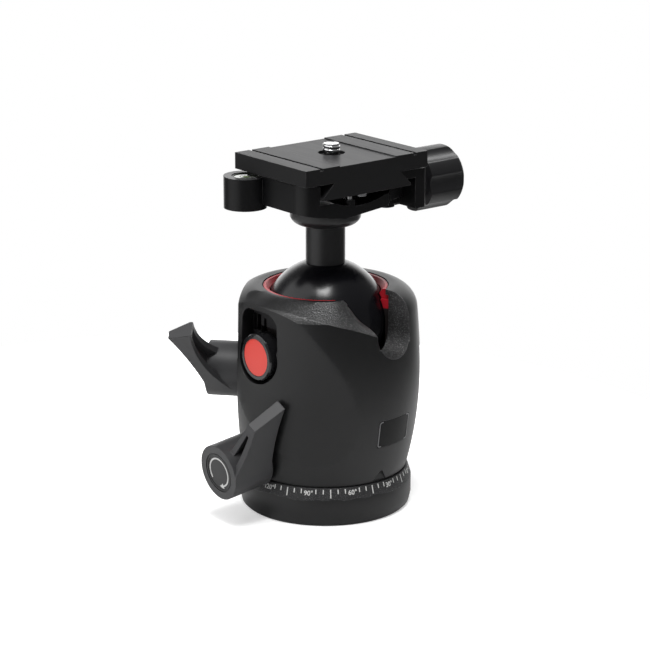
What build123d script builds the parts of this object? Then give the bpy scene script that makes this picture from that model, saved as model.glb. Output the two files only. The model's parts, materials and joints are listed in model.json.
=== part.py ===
"""Tripod ball head with a 38 mm dovetail quick-release clamp, built as separate pieces.

Millimetres. +Z is up. The origin is the centre of the underside, on the panning axis.
+X points from the panning axis towards the clamp knob, so the round button and the
panning lever are on the -X side and the portrait notch is close to -Y.
"""
from build123d import *
import os
from math import cos, radians, sin, sqrt, tan

# ---------------------------------------------------------------- driving dimensions
RUN = 0.05              # radial running clearance of a shaft in its bore
GAP = 0.35              # free gap between curved faces that pass each other
SEAT = 0.02             # gap at a face that is screwed or pressed home
FAR = 200.0             # length of a cut that goes right through

# base disc and panning axle
BASE_R = 30.0
BASE_EDGE_H = 9.4       # height of the straight rim
BASE_BEVEL_R = 28.7     # radius at the top of the bevel that carries the degree scale
BASE_H = 13.5
BASE_FOOT_R = 29.4      # the rim narrows slightly towards the underside
BASE_RECESS_R = 24.0    # shallow relief under the base
BASE_RECESS_H = 0.6
INSERT_R = 7.0          # threaded steel insert for the tripod screw
INSERT_FLANGE_R = 9.0
INSERT_FLANGE_H = 1.5
INSERT_TOP = 11.5
TRIPOD_THREAD_R = 3.97  # 3/8"-16 core radius
SPINDLE_R = 13.0
SPINDLE_FLANGE_R = 19.5
SPINDLE_FLANGE_H = 3.5
SPINDLE_SCREW_PCD_R = 16.0
SPINDLE_SCREW_COUNT = 3
WASHER_R = 27.9         # thin slip washer between base and body
WASHER_BORE_R = 25.4
WASHER_T = 0.6
BODY_BOTTOM_Z = BASE_H + WASHER_T
RETAINER_R = 17.0
RETAINER_T = 1.5
NUT_R = 12.0
NUT_H = 3.0
NECK_THREAD_R = 9.0     # threaded top of the axle

# body casting
BELLY_R = 32.8
BELLY_Z = 48.0
LOWER_FLANK_R = 130.0   # curvature of the flank below the belly
UPPER_FLANK_R = 235.0   # curvature of the flank above the belly
SHOULDER_FILLET = 8.0
RIM_Z = 78.0
BODY_BORE_R = 23.0
BODY_BORE_TOP = 76.2
RIM_BORE_R = 21.75
CARRIER_R = 25.0

# ball and neck
BALL_R = 21.5
BALL_Z = 65.7
NECK_R = 6.8
NECK_SPIGOT_R = 4.5
NECK_COLLAR_R = 8.0
FLANGE_R = 12.2
FLANGE_Z = 99.8         # underside of the neck's flange
FLANGE_RIM_Z = FLANGE_Z + 2.4    # foot of its straight rim
CLAMP_BOTTOM_Z = FLANGE_Z + 5.8

# portrait notch
NOTCH_ANGLE = -80.7
NOTCH_R = 8.2

# side panel, a shallow scooped flat on the casting
PANEL_ANGLE = -153.7
PANEL_DIST = 29.9       # distance from the axis at PANEL_Z
PANEL_Z = 50.0
PANEL_LEAN = 0.006      # outward lean per millimetre of height
PANEL_YAW = -0.033      # outward lean per millimetre across
PANEL_BOW_R = 41.7      # convex across
PANEL_SCOOP_R = 390.0   # concave up and down
PANEL_TWIST = -0.0054
PANEL_HALF = 30.0
PANEL_STEP = 6.0

# brow, the sloping bevel on the left of the notch, by angle from the notch's centre line
BROW_RIM_R = 23.5       # inner edge of the bevel, on the flat rim
BROW_SLOPE = 0.42       # fall per millimetre outwards, far from the notch
BROW_STEEPENING = 1.25  # added fall beside the notch
BROW_REACH = 90.0       # angle at which the added fall ends
BROW_FADE = 112.0       # angle from which the bevel runs out into the shoulder
BROW_FADE_RATE = 0.2    # growth of its inner radius per degree
BROW_END = 158.0
BROW_STEP = 12.0
BROW_DIP = 0.46         # extra fall of its inner edge per degree, where it meets the notch
BROW_DIP_FROM = 38.0    # angle at which that starts
BROW_DIP_REACH = 11.0   # how far out the dip goes
BROW_ROWS = 6

# small marks on the casting
PLAQUE_ANGLE = -80.3
PLAQUE_W = 15.5
PLAQUE_H = 9.6
PLAQUE_Z = 31.8
PLAQUE_S = 30.9         # distance of the plaque's outer face from the axis
PLAQUE_T = 0.8
INDEX_ANGLE = -88.0
INDEX_W = 6.0
INDEX_H = 3.6
INDEX_DEPTH = 0.5

# bearing plate inside the casting
CARRIER_Z = BODY_BOTTOM_Z + 13.4
CARRIER_H = 7.0
BUSH_T = 1.5
SPANNER_HOLE_R = 1.5

# controls
CONTROL_ANGLE = 180.0   # button and panning lever
BUTTON_Z = 57.2
BUTTON_R = 8.15
BUTTON_FACE_S = 30.4    # distance of the button's face from the axis
BUTTON_INLAY_R = 6.5
BUTTON_INLAY_T = 0.9
BUTTON_STEM_R = 1.9
BUTTON_TRAVEL = 7.0
WINDOW_R = 9.3
WINDOW_LEFT = 8.7
WINDOW_RIGHT = 9.4
WINDOW_TOP = 16.4       # above the button's axis
WINDOW_CORNER = 5.0
GATE_S = 24.6           # front of the gate plate
GATE_T = 1.2

# selector ring
RING_R = 22.95
RING_BORE_R = 21.85
RING_BOTTOM_Z = 53.6
RING_SHOULDER_Z = 76.0
RING_COLLAR_R = 21.4
RING_TOP_Z = 77.8
RING_FUNNEL_R = 20.6
RING_SWING = 15.0       # turn of the ring over the button's travel
RING_OPEN_RIGHT = 21.5  # edges of the gap in the ring, from the notch's centre line
RING_OPEN_LEFT = 39.0

# ball lock
BALL_LOCK_ANGLE = 131.3
BALL_LOCK_Z = 45.8
BALL_LOCK_FLAT = 27.8   # distance of the flat under the lever
LOCK_BUSH_R = 6.0
LOCK_SHAFT_R = 4.0
PLUNGER_R = 3.0
PLUNGER_TIP_S = 17.95   # lower edge of its 45 degree tip
CUP_R = 22.6
CUP_BOTTOM_Z = 42.0
CUP_TOP_Z = 52.4
CUP_GAP = 0.55          # free gap under the ball with the lever released
CUP_HOLE_R = 12.0
SPRING_COIL_R = 19.5
SPRING_WIRE_R = 0.5
SPRING_PITCH = 2.1
SPRING_H = 6.0

# panning lock
PAN_LOCK_Z = BODY_BOTTOM_Z + 11.1       # height at which the tilted axis meets the main axis
PAN_LOCK_TILT = 7.0     # the lever's axis points down by this angle
PAN_SHAFT_R = 3.5
PAN_SHOE_R = 3.0
PAN_BOSS_R = 7.3
PAN_BOSS_S = 30.2

# levers: (reach along the blade, distance along the axis) gives the side view
BALL_LEVER_ANGLE = 41.5
BALL_LEVER_BASE = 28.1
BALL_LEVER_HUB_TOP = 41.0
BALL_LEVER_INNER = ((1.0, 29.5), (11.5, 38.2))
BALL_LEVER_TIP = ((31.0, 42.0), (29.0, 50.2))
BALL_LEVER_WEB = (-0.5, 1.8, 22.0)
PAN_LEVER_ANGLE = 61.0
PAN_LEVER_BASE = 31.0
PAN_LEVER_HUB_TOP = 46.9
PAN_LEVER_INNER = ((4.0, 31.6), (14.5, 30.2))
PAN_LEVER_TIP = ((24.9, 26.6), (20.6, 39.3))
PAN_LEVER_WEB = (2.0, 0.3, 9.0)
PAN_LEVER_POCKET_S = 39.0
LEVER_HUB_R = 9.7
LEVER_TIP_HALF = 2.6
LEVER_WALL = 2.4
LEVER_SKIN = 1.8        # cap-side face of the blade
LEVER_HUB_SKIN = 5.0    # solid end of the hub under the cap
LEVER_POCKET_R = 17.5   # reach of the small pocket beside the hub
LEVER_WEB_X = 3.5       # root of the wall beside the centre line
CAP_R = 7.0
CAP_T = 1.2

# friction pad
PAD_R = 4.0
PAD_END_S = 27.0
PAD_SCREW_R = 4.4

# clamp
JAW_CENTRE_X = 1.7
DOVETAIL_HALF = 19.0    # 38 mm across the foot of the dovetail
DOVETAIL_NECK_HALF = 14.3
DOVETAIL_FOOT_Z = CLAMP_BOTTOM_Z + 7.8
DOVETAIL_EDGE_H = 0.7
DOVETAIL_TOP_Z = DOVETAIL_FOOT_Z + 5.4
CHANNEL_Z = CLAMP_BOTTOM_Z + 6.0
CLAMP_LEFT_X = -22.6
CLAMP_RIGHT_X = 22.0
CLAMP_HALF = 19.2       # half length of the fixed jaw
CLAMP_CORNER_R = 7.5
CLAMP_JAW_TOP_Z = CLAMP_BOTTOM_Z + 12.3
CLAMP_LOBE_Z = CLAMP_BOTTOM_Z - 1.3
CLAMP_LOBE_X = 13.4     # the screw bores of the fixed jaw start here
CLAMP_LOBE_W = 5.6
CLAMP_LOBE_HALF = 12.0
JAW_X = 23.8
JAW_T = 5.5
JAW_BOTTOM_Z = CLAMP_BOTTOM_Z - 1.0
JAW_TOP_Z = CLAMP_BOTTOM_Z + 12.7
JAW_LIP_Z = CLAMP_BOTTOM_Z + 9.8
CLAMP_SCREW_Z = CLAMP_BOTTOM_Z + 3.4
CLAMP_SCREW_R = 2.4
GUIDE_PIN_R = 1.5
GUIDE_PIN_Y = 8.2
KNOB_R = 11.0
KNOB_X = 39.0
KNOB_L = 16.0
KNOB_LOBES = 6
KNOB_COLLAR_R = 7.5
LEVEL_X = -24.5
LEVEL_Y = 12.8
LEVEL_R = 7.4
LEVEL_TOP_Z = CLAMP_BOTTOM_Z + 11.8
LEVEL_BOTTOM_Z = CLAMP_BOTTOM_Z + 0.8
UNDERCUT_X = -7.0       # the underside rises from here to both ends
UNDERCUT_LEFT = 0.164   # rise per millimetre
UNDERCUT_RIGHT = 0.1
UNDERCUT_Y = 12.6       # only outside this line on the right
RELIEF_X = -0.5         # shallow hollow across both ends of the channel floor
RELIEF_R = 28.6
RELIEF_DEPTH = 2.2
RELIEF_Y = 11.0
VIAL_R = 4.6
VIAL_H = 4.0
FIXING_X = 8.0          # two small screws beside the central bolt
CATCH_BOSS_R = 2.1
CATCH_R = 1.1           # pin that keeps a loosened plate from sliding out
CATCH_AT = (-3.9, -17.4)

# quick-release plate
PLATE_HALF_X = 26.3
PLATE_HALF_Y = 19.4
PLATE_Y = -1.1
PLATE_T = 5.6
PLATE_TOP_Z = DOVETAIL_TOP_Z + PLATE_T
PLATE_GROOVES = (-19.7, 20.8)
PLATE_GROOVE_W = 1.3
PLATE_GROOVE_H = 0.8
PLATE_FIELD = (-12.0, 12.4)
PLATE_FIELD_H = 0.35
CAMERA_THREAD_R = 3.17  # 1/4"-20 crest radius
CAMERA_THREAD_OUT = 2.9
CAMERA_SHANK_R = 2.5    # neck of the camera screw, under its thread
CAMERA_RECESS_R = 4.6
CAMERA_HEAD_R = 8.0
CAMERA_HEAD_H = 3.0
STOP_SCREW_Y = 15.5

LOW = (Align.CENTER, Align.CENTER, Align.MIN)


def radial_plane(angle, height, tilt=0.0):
    """Plane on the main axis: x runs sideways, y up, and z out through the wall."""
    a = radians(angle)
    t = radians(tilt)
    outward = (cos(a) * cos(t), sin(a) * cos(t), -sin(t))
    return Plane(origin=(0, 0, height), x_dir=(-sin(a), cos(a), 0), z_dir=outward)


def rod(plane, radius, start, end, x=0.0, y=0.0):
    """Round bar along a plane's normal, from start to end."""
    return plane * (Pos(x, y, start) * Cylinder(radius, end - start, align=LOW))


def block(plane, start, end, left, right, bottom, top):
    """Rectangular bar along a plane's normal."""
    middle = Pos((left + right) / 2, (bottom + top) / 2, start)
    return plane * (middle * Box(right - left, top - bottom, end - start, align=LOW))


def tube(radius, bore, bottom, top):
    """Upright ring on the main axis."""
    ring = Pos(0, 0, bottom) * Cylinder(radius, top - bottom, align=LOW)
    return ring - Pos(0, 0, bottom - 1) * Cylinder(bore, top - bottom + 2, align=LOW)


def disc(radius, bottom, top, x=0.0, y=0.0):
    """Upright cylinder."""
    return Pos(x, y, bottom) * Cylinder(radius, top - bottom, align=LOW)


def revolved(*points):
    """Solid of revolution about Z from (radius, height) corners."""
    return revolve(Plane.XZ * make_face(Polyline(*points, close=True)), Axis.Z)


def prism(plane, points, amount):
    """Polygon on a plane, extruded to both sides."""
    return extrude(plane * make_face(Polyline(*points, close=True)), amount, both=True)


def flank_radius(z):
    """Radius of the casting's flank at a height."""
    curve = LOWER_FLANK_R if z < BELLY_Z else UPPER_FLANK_R
    return BELLY_R - (curve - sqrt(curve**2 - (z - BELLY_Z) ** 2))


def barrel():
    """Barrel form of the casting, with its rounded shoulder."""
    def point(z):
        return (flank_radius(z), z)

    lower = ThreePointArc(point(BODY_BOTTOM_Z), point((BODY_BOTTOM_Z + BELLY_Z) / 2), point(BELLY_Z))
    upper = ThreePointArc(point(BELLY_Z), point((BELLY_Z + RIM_Z) / 2), point(RIM_Z))
    lid = Polyline(point(RIM_Z), (0, RIM_Z), (0, BODY_BOTTOM_Z), point(BODY_BOTTOM_Z))
    outline = make_face([*lower.edges(), *upper.edges(), *lid.edges()])
    corner = outline.vertices().sort_by_distance((*point(RIM_Z), 0))[0]
    return revolve(Plane.XZ * fillet(corner, SHOULDER_FILLET), Axis.Z)


def panel_cutter():
    """Everything outside the scooped side panel."""
    a = radians(PANEL_ANGLE)
    out = Vector(cos(a), sin(a), 0)
    across = Vector(-sin(a), cos(a), 0)
    steps = int(2 * PANEL_HALF / PANEL_STEP) + 1
    grid = []
    for i in range(steps):
        row = []
        for j in range(steps):
            v = -PANEL_HALF + i * PANEL_STEP
            w = (-PANEL_HALF + j * PANEL_STEP) * 1.2
            depth = PANEL_DIST - PANEL_YAW * v + PANEL_LEAN * w - v * v / (2 * PANEL_BOW_R)
            depth += w * w / (2 * PANEL_SCOOP_R) - PANEL_TWIST * v * w
            row.append(out * depth + across * v + Vector(0, 0, PANEL_Z + w))
        grid.append(row)
    face = Face.make_surface_from_array_of_points(grid)
    return Solid.extrude(face, out * 20)


def brow_cutter():
    """Everything over the sloping bevel, on the left of the notch only."""
    grid = []
    for i in range(int(BROW_END / BROW_STEP) + 1):
        turn = i * BROW_STEP
        slope = BROW_SLOPE + BROW_STEEPENING * max(0.0, 1 - turn / BROW_REACH) ** 2
        start = BROW_RIM_R + BROW_FADE_RATE * max(0.0, turn - BROW_FADE)
        a = radians(NOTCH_ANGLE - turn)
        row = []
        for j in range(BROW_ROWS):
            r = BALL_R + j * (BELLY_R + 3 - BALL_R) / (BROW_ROWS - 1)
            share = max(0.0, 1 - (r - BALL_R) / BROW_DIP_REACH) ** 1.4
            dip = BROW_DIP * max(0.0, BROW_DIP_FROM - turn) * share
            row.append(Vector(r * cos(a), r * sin(a), RIM_Z - slope * (r - start) - dip))
        grid.append(row)
    face = Face.make_surface_from_array_of_points(grid)
    return Solid.extrude(face, Vector(0, 0, 30))


def window_outline(inset):
    """Outline of the pocket round the button, optionally smaller all round."""
    left, right, top = WINDOW_LEFT - inset, WINDOW_RIGHT - inset, WINDOW_TOP - inset
    upper = Pos((right - left) / 2, top / 2) * RectangleRounded(left + right, top, WINDOW_CORNER)
    return upper + Circle(WINDOW_R - inset)


def gate_slots():
    """Slots of the gate in front view: stem slot, cross slot, rest slot and a thin one."""
    slots = Pos(0, BUTTON_TRAVEL / 2) * Rectangle(4.6, BUTTON_TRAVEL + 4.6)
    slots += Pos(0, 8.1) * Rectangle(8.3, 2.8)
    slots += Pos(-6.4, 10.3) * Rectangle(4.2, 5.8)
    return slots + Pos(-2.0, 10.9) * Rectangle(1.4, 2.9)


def lever(plane, angle, base, hub_top, inner_edge, tip, web, pocket_s, shaft_r):
    """Lever with a hub on the plane's normal and a hollow blade that points at the given angle.

    Side view, as (reach, height) pairs: inner_edge is the body-side edge's start and middle,
    and tip is its end and the end of the cap-side edge. One wall is tangent to the hub, and
    the other runs close to the centre line: web is its height over that line at its root and
    at the tip, and its tilt. The hollow faces the body. A small pocket beside the hub may open
    to the cap side, down to the height pocket_s.
    """
    (inner_x, inner_s), (outer_x, outer_s) = tip
    root_y, tip_y, web_tilt = web
    reach = max(inner_x, outer_x)
    low = min(base, inner_s)
    high = max(hub_top, outer_s)

    def plan(inset):
        half = LEVER_TIP_HALF - 0.5 * inset
        bar = Pos(reach - 1 - inset, 0) * Rectangle(2, 2 * half)
        wedge = make_hull((Circle(LEVER_HUB_R - inset) + bar).edges())
        behind = Pos(LEVER_WEB_X - FAR / 2, FAR / 2) * Rectangle(FAR, FAR)
        return wedge - behind

    def over_web(inset):
        root = (LEVER_WEB_X, root_y - inset)
        above = [root, (reach + 5, tip_y - 0.5 * inset), (reach + 5, FAR), (root[0], FAR)]
        wall = Pos(0, 0, -FAR / 2) * extrude(make_face(Polyline(*above, close=True)), FAR)
        pivot = Pos(0, tip_y, (inner_s + outer_s) / 2)
        return pivot * Rot(web_tilt, 0, 0) * Pos(0, -tip_y, 0) * wall

    def column(inset):
        return Pos(0, 0, low) * extrude(plan(inset), high - low) - over_web(inset)

    start, middle = inner_edge
    lower_edge = ThreePointArc(start, middle, (inner_x, inner_s))
    knee = (LEVER_HUB_R - 4, hub_top)
    upper_edge = ThreePointArc((outer_x, outer_s), ((knee[0] + outer_x) / 2, (hub_top + outer_s) / 2 - 0.8), knee)
    end = Line((inner_x, inner_s), (outer_x, outer_s))
    back = Polyline(knee, (-15, hub_top), (-15, start[1]), start)
    outline = make_face([*lower_edge.edges(), *end.edges(), *upper_edge.edges(), *back.edges()])
    side = extrude(Plane.XZ * outline, 15, both=True)
    skin = side - Pos(0, 0, -LEVER_SKIN) * side
    form, hollow = column(0), column(LEVER_WALL)
    blade = (form & skin) + ((form - hollow) & side)
    if pocket_s:
        reach_of_pocket = disc(LEVER_POCKET_R, low, high)
        blade += form & reach_of_pocket & side & disc(FAR, pocket_s - LEVER_SKIN, pocket_s)
        blade -= (hollow & reach_of_pocket & disc(FAR, pocket_s, FAR)) - disc(LEVER_HUB_R, 0, FAR)
    well = disc(LEVER_HUB_R - LEVER_WALL, base - 1, hub_top - LEVER_HUB_SKIN)
    shape = blade - disc(LEVER_HUB_R - 0.5, 0, FAR) + (disc(LEVER_HUB_R, base, hub_top) - well)
    shape += disc(shaft_r + 2.0, base, hub_top - LEVER_HUB_SKIN)
    shape -= disc(CAP_R, hub_top - CAP_T, hub_top + 9) + disc(shaft_r, low - 2, FAR)
    return plane * Rot(0, 0, angle) * shape


def save(name, shape):
    """Writes one node's STEP file."""
    export_step(shape, os.path.join("parts", name + ".step"))


os.makedirs("parts", exist_ok=True)
button_axis = radial_plane(CONTROL_ANGLE, BUTTON_Z)
pan_axis = radial_plane(CONTROL_ANGLE, PAN_LOCK_Z, PAN_LOCK_TILT)
lock_axis = radial_plane(BALL_LOCK_ANGLE, BALL_LOCK_Z)
notch_axis = radial_plane(NOTCH_ANGLE, BALL_Z)
pad_axis = radial_plane(NOTCH_ANGLE + 180, BALL_Z)
spindle_screw_spots = PolarLocations(SPINDLE_SCREW_PCD_R, SPINDLE_SCREW_COUNT)

# ---------------------------------------------------------------- base disc
base = revolved((0, 0), (BASE_FOOT_R - 0.8, 0), (BASE_FOOT_R, 0.8), (BASE_R, 3.5), (BASE_R, BASE_EDGE_H),
                (BASE_BEVEL_R, BASE_H), (0, BASE_H))
base -= tube(BASE_RECESS_R, INSERT_FLANGE_R + 1.5, -1, BASE_RECESS_H)
base -= disc(INSERT_FLANGE_R, -1, INSERT_FLANGE_H) + disc(INSERT_R, -1, INSERT_TOP)
screw_well = disc(3.3, -1, 6.5) + disc(1.6, 0, BASE_H + 1)
base -= [spot * screw_well for spot in spindle_screw_spots]
save("base_disc", base)

# ---------------------------------------------------------------- threaded insert
insert = disc(INSERT_FLANGE_R - SEAT, 0, INSERT_FLANGE_H - SEAT)
insert += disc(INSERT_R - SEAT, 0, INSERT_TOP - SEAT)
insert -= disc(TRIPOD_THREAD_R, -1, INSERT_TOP + 1)
save("thread_insert", insert)

# ---------------------------------------------------------------- panning axle
flange_top = BASE_H + SPINDLE_FLANGE_H
carrier_top = CARRIER_Z + CARRIER_H
nut_bottom = carrier_top + SEAT + RETAINER_T
spindle = revolved((0, BASE_H), (SPINDLE_FLANGE_R, BASE_H), (SPINDLE_FLANGE_R, flange_top),
                   (SPINDLE_R, flange_top), (SPINDLE_R, carrier_top), (NECK_THREAD_R, carrier_top),
                   (NECK_THREAD_R, nut_bottom + NUT_H), (0, nut_bottom + NUT_H))
spindle -= disc(5.0, flange_top + 4, FAR)
spindle -= [spot * disc(1.5, BASE_H - 1, flange_top + 1) for spot in spindle_screw_spots]
save("pan_spindle", spindle)

# ---------------------------------------------------------------- screws through the base
base_screw = disc(2.8, 4.4, 6.5 - SEAT) + disc(1.5 - SEAT, 6, BASE_H + 3)
base_screw -= Pos(0, 0, 4.4) * extrude(RegularPolygon(1.3, 6), 1.2)
save("base_screws", Compound([spot * base_screw for spot in spindle_screw_spots]))

# ---------------------------------------------------------------- slip washer
save("thrust_washer", tube(WASHER_R, WASHER_BORE_R, BASE_H, BODY_BOTTOM_Z))

# ---------------------------------------------------------------- axle washer and nut
save("retaining_washer", tube(RETAINER_R, NECK_THREAD_R + SEAT, carrier_top + SEAT, nut_bottom))
nut = disc(NUT_R, nut_bottom, nut_bottom + NUT_H) - disc(NECK_THREAD_R + SEAT, 0, FAR)
nut -= [spot * Box(4, 3, FAR) for spot in PolarLocations(NUT_R, 4)]
save("retaining_nut", nut)

# ---------------------------------------------------------------- bearing plate and bush
bush_r = SPINDLE_R + RUN + BUSH_T
carrier = tube(CARRIER_R - SEAT, bush_r + SEAT, CARRIER_Z, carrier_top)
carrier -= [spot * disc(SPANNER_HOLE_R, CARRIER_Z - 1, CARRIER_Z + 4) for spot in PolarLocations(20.5, 2, 90)]
save("bearing_plate", carrier)
save("pan_bush", tube(bush_r, SPINDLE_R + RUN, CARRIER_Z, carrier_top))

# ---------------------------------------------------------------- body casting
housing = barrel()
housing -= panel_cutter()
housing -= block(lock_axis, BALL_LOCK_FLAT, 60, -40, 40, -60, 60)
boss = rod(pan_axis, PAN_BOSS_R, 20, PAN_BOSS_S)
housing += boss
housing -= disc(BODY_BORE_R, 0, BODY_BORE_TOP) + disc(RIM_BORE_R, 70, 90)
housing -= disc(CARRIER_R, 0, carrier_top)
housing -= rod(notch_axis, NOTCH_R, 12, 60) + block(notch_axis, 12, 60, -NOTCH_R, NOTCH_R, 0, 30)
housing -= brow_cutter()
pocket = button_axis * (Pos(0, 0, GATE_S - GATE_T) * extrude(window_outline(0), 20))
housing -= pocket
housing -= block(button_axis, 18, GATE_S, -8.0, 6.0, -3.2, 13.4)
housing -= rod(lock_axis, LOCK_BUSH_R, 18, 40) + rod(pan_axis, PAN_SHAFT_R + 1.5, 18, 40)
housing -= rod(pad_axis, PAD_R + RUN, 18, PAD_END_S) + rod(pad_axis, PAD_SCREW_R, PAD_END_S, 40)
plaque_axis = radial_plane(PLAQUE_ANGLE, PLAQUE_Z)
housing -= block(plaque_axis, PLAQUE_S - PLAQUE_T, 40, -PLAQUE_W / 2, PLAQUE_W / 2, -PLAQUE_H / 2, PLAQUE_H / 2)
index_axis = radial_plane(INDEX_ANGLE, BODY_BOTTOM_Z)
arrow = [(-INDEX_W / 2, -1), (INDEX_W / 2, -1), (INDEX_W / 2, 0), (0.6, INDEX_H), (-0.6, INDEX_H), (-INDEX_W / 2, 0)]
mark = extrude(make_face(Polyline(*arrow, close=True)), 10)
housing -= index_axis * (Pos(0, 0, flank_radius(BODY_BOTTOM_Z) - INDEX_DEPTH) * mark)
save("housing", housing)

# ---------------------------------------------------------------- blank plaque
half_w = PLAQUE_W / 2 - SEAT
half_h = PLAQUE_H / 2 - SEAT
plaque = block(plaque_axis, PLAQUE_S - PLAQUE_T + SEAT, PLAQUE_S + 3, -half_w, half_w, -half_h, half_h)
plaque &= barrel()
save("blank_plaque", plaque)

# ---------------------------------------------------------------- gate plate and button
gate = extrude(window_outline(SEAT) - gate_slots(), GATE_T - SEAT)
save("gate_plate", button_axis * (Pos(0, 0, GATE_S - GATE_T + SEAT) * gate))
button = rod(button_axis, BUTTON_R, GATE_S + 0.1, BUTTON_FACE_S)
button = chamfer(button.faces().sort_by(Axis.X)[0].edges(), 0.5)
button -= rod(button_axis, BUTTON_INLAY_R, BUTTON_FACE_S - BUTTON_INLAY_T, 40)
button -= rod(button_axis, BUTTON_STEM_R, GATE_S - 1, GATE_S + 3)
save("selector_button", button)
inlay_front = BUTTON_FACE_S - 0.15
save("button_inlay", rod(button_axis, BUTTON_INLAY_R - SEAT, BUTTON_FACE_S - BUTTON_INLAY_T, inlay_front))
save("button_stem", rod(button_axis, BUTTON_STEM_R - SEAT, 22.0, GATE_S + 3 - SEAT))

# ---------------------------------------------------------------- selector ring
dome = BALL_R + GAP
top_r = sqrt(dome**2 - (RING_SHOULDER_Z + 0.2 - BALL_Z) ** 2)
ring = disc(RING_R, RING_BOTTOM_Z, RING_SHOULDER_Z) + disc(RING_COLLAR_R, 70, RING_TOP_Z)
ring -= disc(RING_BORE_R, 0, BALL_Z) + Pos(0, 0, BALL_Z) * Sphere(dome)
ring -= Pos(0, 0, RING_SHOULDER_Z + 0.2) * Cone(top_r, RING_FUNNEL_R, RING_TOP_Z - RING_SHOULDER_Z, align=LOW)
opening = [(0, 0)]
for turn in (RING_OPEN_RIGHT, (RING_OPEN_RIGHT - RING_OPEN_LEFT) / 2, -RING_OPEN_LEFT):
    a = radians(NOTCH_ANGLE + turn)
    opening.append((60 * cos(a), 60 * sin(a)))
ring -= extrude(make_face(Polyline(*opening, close=True)), 100)
slot_steps = 14
for i in range(slot_steps + 1):
    share = i / slot_steps
    bar = radial_plane(CONTROL_ANGLE - RING_SWING * share, BUTTON_Z + BUTTON_TRAVEL * share)
    ring -= rod(bar, BUTTON_STEM_R + GAP, 18, 26)
for i in range(4):
    bar = radial_plane(NOTCH_ANGLE + 180 - RING_SWING * i / 3, BALL_Z)
    ring -= rod(bar, PAD_R + GAP + 0.15, 18, 26)
step_angle = radians(NOTCH_ANGLE + RING_OPEN_RIGHT)
ring -= Pos(0, 0, 74.4) * extrude(make_face(Polyline(
    (0, 0), (60 * cos(step_angle), 60 * sin(step_angle)),
    (60 * cos(step_angle + 0.07), 60 * sin(step_angle + 0.07)), close=True)), 10)
save("selector_ring", ring)

# ---------------------------------------------------------------- cup under the ball
cup = disc(CUP_R, CUP_BOTTOM_Z, CUP_TOP_Z) - Pos(0, 0, BALL_Z) * Sphere(BALL_R + CUP_GAP)
cup -= disc(CUP_HOLE_R, 0, 60)
ramp = radial_plane(BALL_LOCK_ANGLE, 0)
ramp_side = Plane(origin=(0, 0, 0), x_dir=ramp.z_dir, z_dir=ramp.x_dir * -1)
ramp_low = PLUNGER_TIP_S - 0.45 - 0.3
ramp_z = BALL_LOCK_Z - PLUNGER_R - 0.3
rise = 24 - ramp_low
cup -= prism(ramp_side, [(ramp_low, 40), (ramp_low, ramp_z), (24, ramp_z + rise), (24, 40)], PLUNGER_R + 0.6)
save("ball_cup", cup)
path = Helix(SPRING_PITCH, SPRING_H - 2 * SPRING_WIRE_R, SPRING_COIL_R)
wire = Plane(origin=path @ 0, z_dir=path % 0) * Circle(SPRING_WIRE_R)
spring = sweep(wire, path=path)
save("cup_spring", Pos(0, 0, carrier_top + SPRING_WIRE_R + 0.1) * spring)

# ---------------------------------------------------------------- ball lock
plunger = rod(lock_axis, PLUNGER_R, PLUNGER_TIP_S - 1, 25.1)
low_z = BALL_LOCK_Z - PLUNGER_R
tip_cut = [(10, low_z + 10 - PLUNGER_TIP_S), (30, low_z + 30 - PLUNGER_TIP_S), (10, 70)]
plunger -= prism(ramp_side, tip_cut, 8)
save("lock_plunger", plunger)
lock_bush = rod(lock_axis, LOCK_BUSH_R - SEAT, 23.4, BALL_LOCK_FLAT)
lock_bush -= rod(lock_axis, PLUNGER_R + RUN, 20, 25.2) + rod(lock_axis, LOCK_SHAFT_R + RUN, 25.2, 40)
save("lock_bush", lock_bush)
save("ball_lock_shaft", rod(lock_axis, LOCK_SHAFT_R, 25.3, BALL_LEVER_HUB_TOP - CAP_T - 1.0))
ball_lever = lever(lock_axis, BALL_LEVER_ANGLE, BALL_LEVER_BASE, BALL_LEVER_HUB_TOP, BALL_LEVER_INNER,
                   BALL_LEVER_TIP, BALL_LEVER_WEB, None, LOCK_SHAFT_R + SEAT)
save("ball_lock_lever", ball_lever)
ball_cap_s = BALL_LEVER_HUB_TOP - CAP_T + SEAT
save("ball_lock_cap", rod(lock_axis, CAP_R - SEAT, ball_cap_s, ball_cap_s + CAP_T - 0.3))

# ---------------------------------------------------------------- panning lock
shoe = rod(pan_axis, PAN_SHOE_R, 12, 22.9) - disc(SPINDLE_R + 0.5, 0, 60)
save("pan_shoe", shoe)
pan_bush = rod(pan_axis, PAN_SHAFT_R + 1.5 - SEAT, 22.0, PAN_BOSS_S) & (
    rod(pan_axis, 6, 20, PAN_BOSS_S) - disc(CARRIER_R - 0.1, 0, 60) + rod(pan_axis, 6, 24.6, PAN_BOSS_S))
pan_bush -= rod(pan_axis, PAN_SHOE_R + RUN, 10, 25) + rod(pan_axis, PAN_SHAFT_R + RUN, 25, 40)
save("pan_lock_bush", pan_bush)
save("pan_lock_shaft", rod(pan_axis, PAN_SHAFT_R, 25.2, PAN_LEVER_HUB_TOP - CAP_T - 1.0))
pan_lever = lever(pan_axis, PAN_LEVER_ANGLE, PAN_LEVER_BASE, PAN_LEVER_HUB_TOP, PAN_LEVER_INNER,
                  PAN_LEVER_TIP, PAN_LEVER_WEB, PAN_LEVER_POCKET_S, PAN_SHAFT_R + SEAT)
save("pan_lock_lever", pan_lever)
pan_cap_s = PAN_LEVER_HUB_TOP - CAP_T + SEAT
save("pan_lock_cap", rod(pan_axis, CAP_R - SEAT, pan_cap_s, pan_cap_s + CAP_T - 0.3))

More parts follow.
